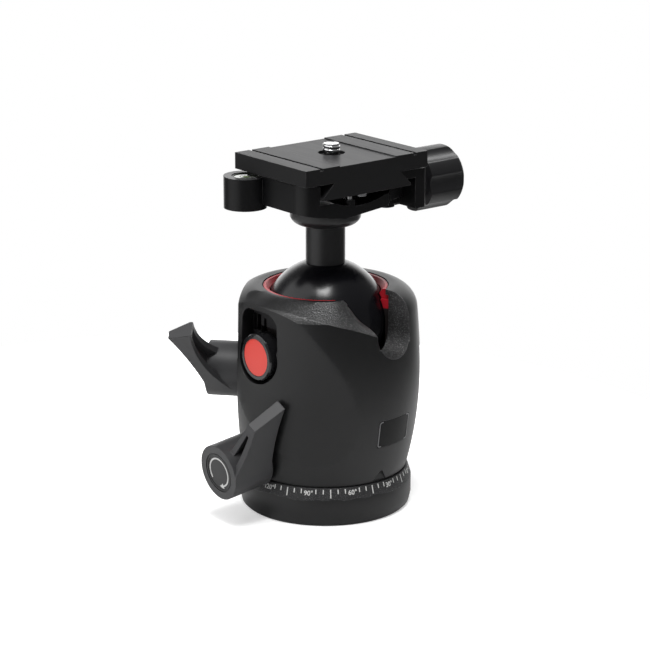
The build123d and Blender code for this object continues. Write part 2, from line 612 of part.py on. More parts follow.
# ---------------------------------------------------------------- friction pad
pad = rod(pad_axis, PAD_R, 18, PAD_END_S - 0.1) - Pos(0, 0, BALL_Z) * Sphere(BALL_R + RUN)
save("friction_pad", pad)
pad_screw = rod(pad_axis, PAD_SCREW_R - SEAT, PAD_END_S, 31.6)
pad_screw -= pad_axis * (Pos(0, 0, 30.2) * extrude(RegularPolygon(2.0, 6), 3))
save("pad_screw", pad_screw)

# ---------------------------------------------------------------- ball
ball = Pos(0, 0, BALL_Z) * Sphere(BALL_R)
ball -= disc(NECK_COLLAR_R, 86.0, 100)
ball -= disc(NECK_SPIGOT_R, 70.0, 100)
save("ball", ball)

# ---------------------------------------------------------------- neck with flange
neck = disc(NECK_R, 86.0, FLANGE_Z + 2) + disc(NECK_SPIGOT_R - SEAT, 71.0, 90)
bowl = make_face([
    *Polyline((NECK_R - 1, CLAMP_BOTTOM_Z), (NECK_R - 1, FLANGE_Z), (NECK_R, FLANGE_Z)).edges(),
    *ThreePointArc((NECK_R, FLANGE_Z), (FLANGE_R - 1.3, FLANGE_Z + 0.6), (FLANGE_R, FLANGE_RIM_Z)).edges(),
    *Polyline((FLANGE_R, FLANGE_RIM_Z), (FLANGE_R, CLAMP_BOTTOM_Z), (NECK_R - 1, CLAMP_BOTTOM_Z)).edges()])
neck += revolve(Plane.XZ * bowl, Axis.Z) + disc(NECK_R - 0.5, FLANGE_Z, CLAMP_BOTTOM_Z)
neck -= disc(2.5, FLANGE_Z - 7.8, CLAMP_BOTTOM_Z + 1)
neck -= [Pos(x, 0, 0) * disc(1.2, FLANGE_Z + 1.7, CLAMP_BOTTOM_Z + 1) for x in (-FIXING_X, FIXING_X)]
save("neck", neck)

# ---------------------------------------------------------------- clamp body
left = JAW_CENTRE_X - DOVETAIL_HALF
lip = JAW_CENTRE_X - DOVETAIL_NECK_HALF
waist = [(12, -CLAMP_HALF), (15.5, -15.5), (CLAMP_RIGHT_X, -14.5)]
corners = [(CLAMP_LEFT_X, -CLAMP_HALF), *waist, *[(x, -y) for x, y in reversed(waist)], (CLAMP_LEFT_X, CLAMP_HALF)]
outline = make_face(Polyline(*corners, close=True))
outline = fillet(outline.vertices().group_by(Axis.X)[0], CLAMP_CORNER_R)
clamp = Pos(0, 0, CLAMP_BOTTOM_Z) * extrude(outline, CLAMP_JAW_TOP_Z - CLAMP_BOTTOM_Z)
foot_z = CLAMP_BOTTOM_Z
left_rise = foot_z + UNDERCUT_LEFT * (UNDERCUT_X - CLAMP_LEFT_X)
under_left = [(UNDERCUT_X, foot_z), (CLAMP_LEFT_X, left_rise), (CLAMP_LEFT_X - 1, foot_z - 1), (UNDERCUT_X, foot_z - 1)]
clamp -= prism(Plane.XZ, under_left, CLAMP_HALF + 1) - disc(FLANGE_R, 0, FAR)
right_rise = foot_z + UNDERCUT_RIGHT * (CLAMP_RIGHT_X - UNDERCUT_X)
under_right = [(UNDERCUT_X, foot_z), (CLAMP_RIGHT_X + 1, right_rise), (CLAMP_RIGHT_X + 1, foot_z - 1)]
clamp -= prism(Plane.XZ, under_right, CLAMP_HALF + 1) - Box(FAR, 2 * UNDERCUT_Y, FAR * 2)
clamp += disc(LEVEL_R, LEVEL_BOTTOM_Z, LEVEL_TOP_Z, LEVEL_X, LEVEL_Y)
edge_z = DOVETAIL_FOOT_Z + DOVETAIL_EDGE_H
channel = [(left - 0.1, CHANNEL_Z), (left - 0.1, edge_z), (lip - 0.1, edge_z + DOVETAIL_HALF - DOVETAIL_NECK_HALF),
           (lip - 0.1, FAR), (FAR, FAR), (FAR, CHANNEL_Z)]
clamp -= prism(Plane.XZ, channel, FAR)
hollow = rod(Plane.XZ, RELIEF_R, -CLAMP_HALF - 1, CLAMP_HALF + 1, RELIEF_X, CHANNEL_Z - RELIEF_DEPTH + RELIEF_R)
hollow -= Box(FAR, 2 * RELIEF_Y, FAR * 2) + Pos(left - FAR / 2, 0, 0) * Box(FAR, FAR, FAR * 2)
hollow -= disc(CATCH_BOSS_R, 0, FAR, *CATCH_AT)
clamp -= hollow
lobe = Pos(CLAMP_RIGHT_X - CLAMP_LOBE_W / 2, 0) * RectangleRounded(CLAMP_LOBE_W, 2 * CLAMP_LOBE_HALF, 2.5)
clamp += Pos(0, 0, CLAMP_LOBE_Z) * extrude(lobe, CLAMP_SCREW_Z - CLAMP_LOBE_Z)
clamp -= rod(Plane.YZ, CLAMP_SCREW_R, CLAMP_LOBE_X - 0.6, FAR, 0, CLAMP_SCREW_Z)
clamp -= [rod(Plane.YZ, GUIDE_PIN_R + RUN, 11.0, FAR, y, CLAMP_SCREW_Z) for y in (-GUIDE_PIN_Y, GUIDE_PIN_Y)]
clamp -= disc(VIAL_R, LEVEL_TOP_Z - VIAL_H, FAR, LEVEL_X, LEVEL_Y)
clamp -= disc(3.1, FLANGE_Z, FAR) + disc(5.3, CHANNEL_Z - 3.2, FAR)
clamp -= [disc(1.4, FLANGE_Z, FAR, x, 0) + disc(2.4, CHANNEL_Z - 1.8, FAR, x, 0) for x in (-FIXING_X, FIXING_X)]
clamp -= disc(CATCH_R, CLAMP_BOTTOM_Z + 1.5 - SEAT, FAR, *CATCH_AT)
save("clamp_body", clamp)

# ---------------------------------------------------------------- bolt and screws in the clamp floor
bolt = disc(2.5 - SEAT, FLANGE_Z - 6.8, CHANNEL_Z - 2) + disc(5.1, CHANNEL_Z - 3.2 + SEAT, CHANNEL_Z - 0.3)
bolt -= Pos(0, 0, CHANNEL_Z - 2) * extrude(RegularPolygon(2.5, 6), 4)
save("neck_bolt", bolt)
small = disc(1.2 - SEAT, FLANGE_Z + 2.2, CHANNEL_Z - 1) + disc(2.3, CHANNEL_Z - 1.8 + SEAT, CHANNEL_Z - 0.3)
small -= Pos(0, 0, CHANNEL_Z - 1) * extrude(RegularPolygon(1.0, 6), 4)
save("neck_screws", Compound([Pos(x, 0, 0) * small for x in (-FIXING_X, FIXING_X)]))

# ---------------------------------------------------------------- catch pin in the channel floor
catch = disc(CATCH_R - SEAT, CLAMP_BOTTOM_Z + 1.5, CHANNEL_Z + 1.5, *CATCH_AT)
save("catch_pin", chamfer(catch.faces().sort_by(Axis.Z)[-1].edges(), 0.4))

# ---------------------------------------------------------------- bubble level
vial_top = LEVEL_TOP_Z - 0.4
save("level_vial", disc(VIAL_R - SEAT, LEVEL_TOP_Z - VIAL_H + SEAT, vial_top, LEVEL_X, LEVEL_Y))

# ---------------------------------------------------------------- moving jaw
right = JAW_CENTRE_X + DOVETAIL_HALF
slope_x = right + 0.1 - (JAW_LIP_Z - edge_z)
lip_x = right + 0.1 - (JAW_TOP_Z - 0.3 - edge_z)
jaw_side = [(JAW_X, JAW_BOTTOM_Z), (JAW_X + JAW_T, JAW_BOTTOM_Z), (JAW_X + JAW_T, JAW_TOP_Z), (lip_x, JAW_TOP_Z),
            (lip_x, JAW_TOP_Z - 0.3), (slope_x, JAW_LIP_Z), (JAW_X, JAW_LIP_Z)]
jaw = prism(Plane.XZ, jaw_side, CLAMP_HALF)
jaw = fillet(jaw.edges().filter_by(Axis.Z).group_by(Axis.X)[-1], 2.0)
jaw -= rod(Plane.YZ, CLAMP_SCREW_R + 0.4, 0, 60, 0, CLAMP_SCREW_Z)
jaw -= [rod(Plane.YZ, GUIDE_PIN_R, 0, JAW_X + 3.5, y, CLAMP_SCREW_Z) for y in (-GUIDE_PIN_Y, GUIDE_PIN_Y)]
save("moving_jaw", jaw)
pins = [rod(Plane.YZ, GUIDE_PIN_R - SEAT, 14.0, JAW_X + 3.5 - SEAT, y, CLAMP_SCREW_Z)
        for y in (-GUIDE_PIN_Y, GUIDE_PIN_Y)]
save("guide_pins", Compound(pins))

# ---------------------------------------------------------------- clamp screw and knob
knob_end = KNOB_X + KNOB_L
save("clamp_screw", rod(Plane.YZ, CLAMP_SCREW_R - RUN, 16.5, knob_end - 3, 0, CLAMP_SCREW_Z))
grip = Circle(KNOB_R) - [spot * Circle(6.0) for spot in PolarLocations(KNOB_R + 4.6, KNOB_LOBES)]
grip = fillet(grip.vertices(), 1.0)
knob_plane = Plane.YZ * Pos(0, CLAMP_SCREW_Z, 0)
knob = knob_plane * (Pos(0, 0, KNOB_X) * extrude(grip, KNOB_L))
bullet = rod(knob_plane, KNOB_R + 0.1, KNOB_X, knob_end)
knob &= fillet(bullet.faces().sort_by(Axis.X)[-1].edges(), 3.0)
knob += rod(knob_plane, KNOB_COLLAR_R, JAW_X + JAW_T + 0.1, KNOB_X + 1)
knob -= rod(knob_plane, CLAMP_SCREW_R, 0, knob_end - 3)
save("clamp_knob", knob)

# ---------------------------------------------------------------- quick-release plate
half = DOVETAIL_HALF - DOVETAIL_NECK_HALF
foot = [(-DOVETAIL_HALF, DOVETAIL_FOOT_Z), (DOVETAIL_HALF, DOVETAIL_FOOT_Z), (DOVETAIL_HALF, edge_z),
        (DOVETAIL_NECK_HALF, edge_z + half), (DOVETAIL_NECK_HALF, DOVETAIL_TOP_Z + 1),
        (-DOVETAIL_NECK_HALF, DOVETAIL_TOP_Z + 1), (-DOVETAIL_NECK_HALF, edge_z + half), (-DOVETAIL_HALF, edge_z)]
plate = Pos(0, PLATE_Y, 0) * prism(Plane.XZ, foot, PLATE_HALF_Y)
plate += Pos(0, PLATE_Y, DOVETAIL_TOP_Z) * Box(2 * PLATE_HALF_X, 2 * PLATE_HALF_Y, PLATE_TOP_Z - DOVETAIL_TOP_Z,
                                               align=LOW)
field_w = PLATE_FIELD[1] - PLATE_FIELD[0]
field_x = (PLATE_FIELD[0] + PLATE_FIELD[1]) / 2
plate -= Pos(field_x, PLATE_Y, PLATE_TOP_Z - PLATE_FIELD_H) * Box(field_w, 100, 5, align=LOW)
for x in PLATE_GROOVES:
    plate -= Pos(x, PLATE_Y, PLATE_TOP_Z - PLATE_GROOVE_H) * Box(PLATE_GROOVE_W, 100, 5, align=LOW)
plate -= disc(CAMERA_THREAD_R + 0.2, 0, FAR, 0, PLATE_Y)
plate -= disc(CAMERA_RECESS_R, PLATE_TOP_Z - 1.4, FAR, 0, PLATE_Y)
plate -= disc(CAMERA_HEAD_R + 0.4, 0, DOVETAIL_FOOT_Z + CAMERA_HEAD_H + 0.4, 0, PLATE_Y)
plate -= [disc(1.3, 0, DOVETAIL_TOP_Z - 0.8, 0, PLATE_Y + y) for y in (-STOP_SCREW_Y, STOP_SCREW_Y)]
save("quick_release_plate", Pos(JAW_CENTRE_X, 0, 0) * plate)

# ---------------------------------------------------------------- camera screw
head_z = DOVETAIL_FOOT_Z + 0.3
camera_screw = disc(CAMERA_HEAD_R, head_z, head_z + CAMERA_HEAD_H)
camera_screw += disc(CAMERA_SHANK_R, head_z, PLATE_TOP_Z)
camera_screw += disc(CAMERA_THREAD_R, PLATE_TOP_Z, PLATE_TOP_Z + CAMERA_THREAD_OUT)
camera_screw = chamfer(camera_screw.faces().sort_by(Axis.Z)[-1].edges(), 0.4)
camera_screw -= Pos(0, 0, head_z - 1) * Box(20, 1.6, 2.4, align=LOW)
save("camera_screw", Pos(JAW_CENTRE_X, PLATE_Y, 0) * camera_screw)
stop = disc(1.3 - SEAT, DOVETAIL_FOOT_Z - 1, DOVETAIL_TOP_Z - 0.9) + disc(2.2, DOVETAIL_FOOT_Z - 1.4, DOVETAIL_FOOT_Z - SEAT)
save("plate_stop_screws", Compound([Pos(JAW_CENTRE_X, PLATE_Y + y, 0) * stop for y in (-STOP_SCREW_Y, STOP_SCREW_Y)]))
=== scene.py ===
import json
from math import cos, pi, radians, sin, sqrt

import bmesh
import bpy
from mathutils import Matrix, Vector


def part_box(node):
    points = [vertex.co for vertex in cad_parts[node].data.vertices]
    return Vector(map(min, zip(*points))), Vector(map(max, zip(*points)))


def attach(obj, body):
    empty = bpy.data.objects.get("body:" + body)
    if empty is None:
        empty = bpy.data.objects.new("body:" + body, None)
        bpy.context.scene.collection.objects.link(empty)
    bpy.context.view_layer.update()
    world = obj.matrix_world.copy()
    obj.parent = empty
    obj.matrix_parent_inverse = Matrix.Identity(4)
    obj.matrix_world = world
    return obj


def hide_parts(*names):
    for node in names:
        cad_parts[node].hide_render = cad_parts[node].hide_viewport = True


# Looks of a tripod ball head: black castings, a polished ball, a red selector ring and a dovetail plate.
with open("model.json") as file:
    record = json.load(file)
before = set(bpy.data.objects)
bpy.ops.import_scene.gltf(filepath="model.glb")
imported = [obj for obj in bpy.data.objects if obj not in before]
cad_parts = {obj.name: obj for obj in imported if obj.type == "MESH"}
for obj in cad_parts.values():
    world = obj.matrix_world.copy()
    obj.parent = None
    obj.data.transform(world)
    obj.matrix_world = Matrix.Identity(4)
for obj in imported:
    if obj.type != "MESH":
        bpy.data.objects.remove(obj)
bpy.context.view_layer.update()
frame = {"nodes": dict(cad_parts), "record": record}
MM = 0.001

# ---------------------------------------------------------------- base disc
# The round foot, turned from aluminium and painted satin black. Its bevel is left with a
# coarse coat, whose lower edge is uneven and whose grain carries painted highlights, and it carries the
# degree scale.

FLOAT, COLOUR, VECTOR = "NodeSocketFloat", "NodeSocketColor", "NodeSocketVector"
BAND_BOTTOM_Z, BAND_FADE = 9.55 * MM, 0.15 * MM
BAND_DIP, BAND_RISE = 0.35 * MM, 0.55 * MM      # how far its lower edge wanders


def new_group(name, inputs, outputs):
    """Shader node group with named sockets, given as (name, kind) pairs."""
    tree = bpy.data.node_groups.new(name, "ShaderNodeTree")
    for label, kind in inputs:
        tree.interface.new_socket(label, in_out="INPUT", socket_type=kind)
    for label, kind in outputs:
        tree.interface.new_socket(label, in_out="OUTPUT", socket_type=kind)
    return tree, tree.nodes.new("NodeGroupInput"), tree.nodes.new("NodeGroupOutput")


def join(tree, source, socket):
    """Links a source to a socket, or writes it there if it is a plain number."""
    if isinstance(source, (int, float)):
        socket.default_value = source
    else:
        tree.links.new(source, socket)


def own_place(tree):
    """The piece's own coordinates."""
    return tree.nodes.new("ShaderNodeTexCoord").outputs["Object"]


def component(tree, vector, axis):
    """One component of a vector."""
    node = tree.nodes.new("ShaderNodeSeparateXYZ")
    tree.links.new(vector, node.inputs["Vector"])
    return node.outputs[axis]


def measure(tree, operation, first, second=None):
    """Length of a vector, or its dot product with a socket or a fixed direction."""
    node = tree.nodes.new("ShaderNodeVectorMath")
    node.operation = operation
    tree.links.new(first, node.inputs[0])
    if isinstance(second, (tuple, Vector)):
        node.inputs[1].default_value = second
    elif second is not None:
        tree.links.new(second, node.inputs[1])
    return node.outputs["Value"]


def noise(tree, scale, detail=3.0, stretch=None):
    """Noise over the piece's own coordinates, in waves per metre, finer along a stretched axis."""
    place = own_place(tree)
    if stretch:
        squeeze = tree.nodes.new("ShaderNodeMapping")
        squeeze.inputs["Scale"].default_value = stretch
        tree.links.new(place, squeeze.inputs["Vector"])
        place = squeeze.outputs["Vector"]
    texture = tree.nodes.new("ShaderNodeTexNoise")
    texture.inputs["Detail"].default_value = detail
    tree.links.new(place, texture.inputs["Vector"])
    join(tree, scale, texture.inputs["Scale"])
    return texture.outputs["Fac"]


def ramp(tree, value, low, high, to_low=0.0, to_high=1.0):
    """Maps a value from one range to another and clamps it."""
    node = tree.nodes.new("ShaderNodeMapRange")
    node.clamp = True
    for socket, source in zip(node.inputs, (value, low, high, to_low, to_high)):
        join(tree, source, socket)
    return node.outputs["Result"]


def calc(tree, operation, first, second=0.0):
    """One arithmetic step."""
    node = tree.nodes.new("ShaderNodeMath")
    node.operation = operation
    join(tree, first, node.inputs[0])
    join(tree, second, node.inputs[1])
    return node.outputs["Value"]


def blend_colours(tree, share, first, second):
    """Mix of two colours, each a socket or a plain colour."""
    node = tree.nodes.new("ShaderNodeMix")
    node.data_type = "RGBA"
    join(tree, share, node.inputs["Factor"])
    for socket, colour in ((node.inputs[6], first), (node.inputs[7], second)):
        if isinstance(colour, tuple):
            socket.default_value = (*colour, 1)
        else:
            tree.links.new(colour, socket)
    return node.outputs[2]


# Satin paint: slow drift of the gloss, and a fine orange-peel height.
coat_group, coat_in, coat_out = new_group(
    "Satin coat", [("Grain", FLOAT), ("Low gloss", FLOAT), ("High gloss", FLOAT)],
    [("Roughness", FLOAT), ("Height", FLOAT)])
drift = ramp(coat_group, noise(coat_group, 45.0), 0.35, 0.65, coat_in.outputs["Low gloss"],
             coat_in.outputs["High gloss"])
coat_group.links.new(drift, coat_out.inputs["Roughness"])
coat_group.links.new(noise(coat_group, coat_in.outputs["Grain"], 2.0), coat_out.inputs["Height"])

# Edges: a rounded normal at each edge, and a paler colour there in patches, which is rubbed paint
# and, on the body and the clamp, also a painted highlight along lit edges. An edge is where the
# rounded and the true normal part, as the cosine between them.
BEVEL_SAMPLES, FLAT_COS, EDGE_COS = 4, 0.98, 0.80
edge_wear_highlight_group, edge_wear_highlight_in, edge_wear_highlight_out = new_group(
    "Edge wear and highlight", [("Paint", COLOUR), ("Worn", COLOUR), ("Radius", FLOAT), ("Amount", FLOAT)],
    [("Color", COLOUR), ("Normal", VECTOR)])
soft = edge_wear_highlight_group.nodes.new("ShaderNodeBevel")
soft.samples = BEVEL_SAMPLES
edge_wear_highlight_group.links.new(edge_wear_highlight_in.outputs["Radius"], soft.inputs["Radius"])
true_normal = edge_wear_highlight_group.nodes.new("ShaderNodeNewGeometry").outputs["Normal"]
parting = measure(edge_wear_highlight_group, "DOT_PRODUCT", soft.outputs["Normal"], true_normal)
edge = ramp(edge_wear_highlight_group, parting, FLAT_COS, EDGE_COS)
patches = ramp(edge_wear_highlight_group, noise(edge_wear_highlight_group, 260.0), 0.35, 0.7, 0.0, edge_wear_highlight_in.outputs["Amount"])
pale_edge = calc(edge_wear_highlight_group, "MULTIPLY", edge, patches)
edge_wear_highlight_group.links.new(blend_colours(edge_wear_highlight_group, pale_edge, edge_wear_highlight_in.outputs["Paint"], edge_wear_highlight_in.outputs["Worn"]),
                     edge_wear_highlight_out.inputs["Color"])
edge_wear_highlight_group.links.new(soft.outputs["Normal"], edge_wear_highlight_out.inputs["Normal"])

# Coarse cast grain: rounded pebbles of about a third of a millimetre, with a mask for a painted highlight on
# each pebble's crown.
grain_group, grain_in, grain_out = new_group(
    "Coarse grain", [("Mask", FLOAT), ("Size", FLOAT)], [("Height", FLOAT), ("Crown glint", FLOAT)])
pebbles = grain_group.nodes.new("ShaderNodeTexVoronoi")
pebbles.feature = "SMOOTH_F1"
grain_group.links.new(own_place(grain_group), pebbles.inputs["Vector"])
grain_group.links.new(grain_in.outputs["Size"], pebbles.inputs["Scale"])
pebble_height = ramp(grain_group, pebbles.outputs["Distance"], 0.1, 0.7, 1.0, 0.0)
crown_glint_mask = ramp(grain_group, pebble_height, 0.6, 1.0)
for label, value in (("Height", pebble_height), ("Crown glint", crown_glint_mask)):
    masked = calc(grain_group, "MULTIPLY", value, grain_in.outputs["Mask"])
    grain_group.links.new(masked, grain_out.inputs[label])


def put_group(tree, group, **values):
    """Places a node group in a material and sets its inputs. An underscore stands for a space."""
    node = tree.nodes.new("ShaderNodeGroup")
    node.node_tree = group
    for label, value in values.items():
        socket = node.inputs[label.replace("_", " ")]
        if isinstance(value, tuple):
            socket.default_value = (*value, 1)
        else:
            join(tree, value, socket)
    return node


def bump(tree, height, depth, normal=None):
    """Bump node, with its depth in millimetres."""
    node = tree.nodes.new("ShaderNodeBump")
    node.inputs["Strength"].default_value = 1.0
    node.inputs["Distance"].default_value = depth * MM
    tree.links.new(height, node.inputs["Height"])
    if normal:
        tree.links.new(normal, node.inputs["Normal"])
    return node.outputs["Normal"]


def new_material(name, metallic=0.0, coat=0.0, level=0.5):
    """Empty material. Returns it with its tree and its shader."""
    material = bpy.data.materials.new(name)
    material.use_nodes = True
    shader = material.node_tree.nodes["Principled BSDF"]
    shader.inputs["Metallic"].default_value = metallic
    shader.inputs["Coat Weight"].default_value = coat
    shader.inputs["Specular IOR Level"].default_value = level
    return material, material.node_tree, shader


# The rubbed grey also serves as a painted highlight along the body's lit edges.
PAINT_BLACK, RUBBED_AND_LIT_EDGE_GREY = (0.0070, 0.0070, 0.0075), (0.10, 0.10, 0.105)
PAINT_GLOSS, GLOSS_DRIFT, PAINT_LEVEL = 0.40, 0.03, 0.36
PAINT_GRAIN, PAINT_DEPTH = 900.0, 0.004         # waves per metre, and millimetres


def painted(name, colour=PAINT_BLACK, gloss=PAINT_GLOSS, grain=PAINT_GRAIN, depth=PAINT_DEPTH,
            edging=RUBBED_AND_LIT_EDGE_GREY, wear=0.3, radius=0.25, metallic=0.0, coat=0.0, level=PAINT_LEVEL):
    """Satin paint or moulded plastic with softened, paler edges: rubbed paint, and on the clamp also a
    painted highlight.
    """
    material, tree, shader = new_material(name, metallic, coat, level)
    edges = put_group(tree, edge_wear_highlight_group, Paint=colour, Worn=edging, Radius=radius * MM, Amount=wear)
    tree.links.new(edges.outputs["Color"], shader.inputs["Base Color"])
    paint = put_group(tree, coat_group, Grain=grain, Low_gloss=gloss - GLOSS_DRIFT,
                      High_gloss=gloss + GLOSS_DRIFT)
    tree.links.new(paint.outputs["Roughness"], shader.inputs["Roughness"])
    normal = bump(tree, paint.outputs["Height"], depth, edges.outputs["Normal"])
    tree.links.new(normal, shader.inputs["Normal"])
    return material


def grained(name, mask_maker, size, depth, coarse, crown_glint, coarse_gloss=0.52, shine=0.0):
    """Satin paint that turns coarse where the mask says so, with painted highlights on the pebbles' crowns,
    and shinier by an amount.
    """
    material, tree, shader = new_material(name, level=PAINT_LEVEL)
    mask = mask_maker(tree)
    paint = put_group(tree, coat_group, Grain=PAINT_GRAIN, Low_gloss=PAINT_GLOSS - GLOSS_DRIFT,
                      High_gloss=PAINT_GLOSS + GLOSS_DRIFT)
    pebbled = put_group(tree, grain_group, Mask=mask, Size=size)
    cast = blend_colours(tree, mask, PAINT_BLACK, coarse)
    # Paler specks on the crowns of the pebbles: painted highlights.
    colour = blend_colours(tree, pebbled.outputs["Crown glint"], cast, crown_glint)
    # Paler edges: rubbed paint, and a painted highlight along the body's lit edges.
    edges = put_group(tree, edge_wear_highlight_group, Worn=RUBBED_AND_LIT_EDGE_GREY, Radius=0.4 * MM, Amount=0.5)
    tree.links.new(colour, edges.inputs["Paint"])
    tree.links.new(edges.outputs["Color"], shader.inputs["Base Color"])
    if shine:
        shiny = calc(tree, "ADD", calc(tree, "MULTIPLY", mask, shine), PAINT_LEVEL)
        tree.links.new(shiny, shader.inputs["Specular IOR Level"])
    coarse_share = calc(tree, "MULTIPLY", mask, coarse_gloss - PAINT_GLOSS)
    tree.links.new(calc(tree, "ADD", paint.outputs["Roughness"], coarse_share), shader.inputs["Roughness"])
    fine = bump(tree, paint.outputs["Height"], PAINT_DEPTH, edges.outputs["Normal"])
    tree.links.new(bump(tree, pebbled.outputs["Height"], depth, fine), shader.inputs["Normal"])
    return material


node_body = {node: body for body, nodes in frame["record"]["behaviour"]["bodies"].items() for node in nodes}


def register(piece, body, slot_of, *replaced):
    """Parents a finished piece to its body's empty and hides the nodes it replaces; slot_of is not used."""
    if replaced:
        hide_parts(*replaced)
    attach(piece, body)


def welded(node):
    """Work mesh of a CAD node with its loose triangles joined."""
    work = bmesh.new()
    work.from_mesh(frame["nodes"][node].data)
    bmesh.ops.remove_doubles(work, verts=work.verts, dist=0.001 * MM)
    return work


def new_piece(name, work, material, sharp=30.0):
    """Object from a work mesh, smooth except at edges sharper than the angle."""
    for face in work.faces:
        face.smooth = True
    for seam in work.edges:
        seam.smooth = len(seam.link_faces) == 2 and seam.calc_face_angle(pi) < radians(sharp)
    mesh = bpy.data.meshes.new(name)
    work.to_mesh(mesh)
    work.free()
    mesh.materials.append(material)
    piece = bpy.data.objects.new(name, mesh)
    bpy.context.collection.objects.link(piece)
    return piece


def dress(material, *nodes):
    """Smooth-shaded skins of CAD nodes, in place of the nodes' own loose triangles."""
    for node in nodes:
        register(new_piece(node + "_skin", welded(node), material), node_body[node], node, node)


def band_mask(tree):
    """1 on the bevel, above an uneven lower edge."""
    uneven = ramp(tree, noise(tree, 180.0, 2.0), 0.3, 0.7, -BAND_DIP, BAND_RISE)
    height = calc(tree, "ADD", component(tree, own_place(tree), "Z"), uneven)
    return ramp(tree, height, BAND_BOTTOM_Z, BAND_BOTTOM_Z + BAND_FADE)


base_paint = grained("base_grained_glint_black", band_mask, size=3600.0, depth=0.06,
                     coarse=(0.020, 0.020, 0.021), crown_glint=(0.10, 0.10, 0.103))
dress(base_paint, "base_disc")

# ---------------------------------------------------------------- degree scale
# White pad-printed marks on the bevel: a tick every five degrees, longer ones between the
# numbers, and a number with its degree sign every thirty.

BEVEL_BOTTOM_R, BEVEL_BOTTOM_Z = 30.0 * MM, 9.4 * MM
BEVEL_TOP_R, BEVEL_TOP_Z = 28.7 * MM, 13.5 * MM
FULL_TURN, TICK_STEP, NUMBER_EVERY = 360, 5, 6
SCALE_ZERO = -50.2
TICK_W, TICK_SHORT, TICK_LONG = 0.36 * MM, 1.55 * MM, 2.9 * MM
TICK_MARGIN = 0.35 * MM
PRINT_T = 0.05 * MM
SLOPE_LENGTH = sqrt((BEVEL_BOTTOM_R - BEVEL_TOP_R) ** 2 + (BEVEL_TOP_Z - BEVEL_BOTTOM_Z) ** 2)
SLOPE_OUT = (BEVEL_BOTTOM_R - BEVEL_TOP_R) / SLOPE_LENGTH
SLOPE_DOWN = (BEVEL_TOP_Z - BEVEL_BOTTOM_Z) / SLOPE_LENGTH

white_print = painted("white_print", colour=(0.62, 0.62, 0.61), gloss=0.5, wear=0.0, radius=0.02, level=0.3)


def start_tree(name, inputs):
    """Geometry node tree with named inputs, given as (name, kind) pairs."""
    tree = bpy.data.node_groups.new(name, "GeometryNodeTree")
    for label, kind in inputs:
        tree.interface.new_socket(label, in_out="INPUT", socket_type=kind)
    tree.interface.new_socket("Geometry", in_out="OUTPUT", socket_type="NodeSocketGeometry")
    return tree, tree.nodes.new("NodeGroupInput").outputs, tree.nodes.new("NodeGroupOutput")


def close_tree(tree, geometry, out, material):
    """Realizes the instances, sets the material and ends the tree."""
    solid = tree.nodes.new("GeometryNodeRealizeInstances")
    paint = tree.nodes.new("GeometryNodeSetMaterial")
    paint.inputs["Material"].default_value = material
    tree.links.new(geometry, solid.inputs["Geometry"])
    tree.links.new(solid.outputs["Geometry"], paint.inputs["Geometry"])
    tree.links.new(paint.outputs["Geometry"], out.inputs["Geometry"])


def grow(name, tree, material, **values):
    """Runs a geometry node tree with its inputs and keeps the result as a plain mesh piece."""
    holder = bpy.data.objects.new(name + "_holder", bpy.data.meshes.new(name + "_holder"))
    bpy.context.collection.objects.link(holder)
    modifier = holder.modifiers.new("make", "NODES")
    modifier.node_group = tree
    sockets = {item.name: item.identifier for item in tree.interface.items_tree if item.in_out == "INPUT"}
    for label, value in values.items():
        modifier[sockets[label.replace("_", " ")]] = value
    bpy.context.view_layer.update()
    ready = holder.evaluated_get(bpy.context.evaluated_depsgraph_get())
    mesh = bpy.data.meshes.new_from_object(ready)
    mesh.name = name
    holder.modifiers.remove(modifier)
    bpy.data.objects.remove(holder)
    mesh.materials.clear()
    mesh.materials.append(material)
    piece = bpy.data.objects.new(name, mesh)
    bpy.context.collection.objects.link(piece)
    return piece


tick_tree, tick_in, tick_out = start_tree(
    "Degree ticks", [("Count", "NodeSocketInt"), ("Step", FLOAT), ("Zero", FLOAT), ("Width", FLOAT),
                     ("Short", FLOAT), ("Long", FLOAT), ("Thickness", FLOAT)])
line = tick_tree.nodes.new("GeometryNodeMeshLine")
tick_tree.links.new(tick_in["Count"], line.inputs["Count"])
index = tick_tree.nodes.new("GeometryNodeInputIndex").outputs["Index"]
angle = calc(tick_tree, "ADD", calc(tick_tree, "MULTIPLY", index, tick_in["Step"]), tick_in["Zero"])
place_in_group = calc(tick_tree, "MODULO", index, float(NUMBER_EVERY))
at_number = calc(tick_tree, "LESS_THAN", place_in_group, 0.5)
is_long = calc(tick_tree, "COMPARE", place_in_group, NUMBER_EVERY / 2)
extra = calc(tick_tree, "SUBTRACT", tick_in["Long"], tick_in["Short"])
length = calc(tick_tree, "ADD", tick_in["Short"], calc(tick_tree, "MULTIPLY", is_long, extra))
down = calc(tick_tree, "ADD", calc(tick_tree, "MULTIPLY", length, 0.5), TICK_MARGIN)
radius = calc(tick_tree, "ADD", calc(tick_tree, "MULTIPLY", down, SLOPE_OUT), BEVEL_TOP_R)
height = calc(tick_tree, "SUBTRACT", BEVEL_TOP_Z, calc(tick_tree, "MULTIPLY", down, SLOPE_DOWN))
spot = tick_tree.nodes.new("ShaderNodeCombineXYZ")
join(tick_tree, calc(tick_tree, "MULTIPLY", radius, calc(tick_tree, "COSINE", angle)), spot.inputs["X"])
join(tick_tree, calc(tick_tree, "MULTIPLY", radius, calc(tick_tree, "SINE", angle)), spot.inputs["Y"])
join(tick_tree, height, spot.inputs["Z"])
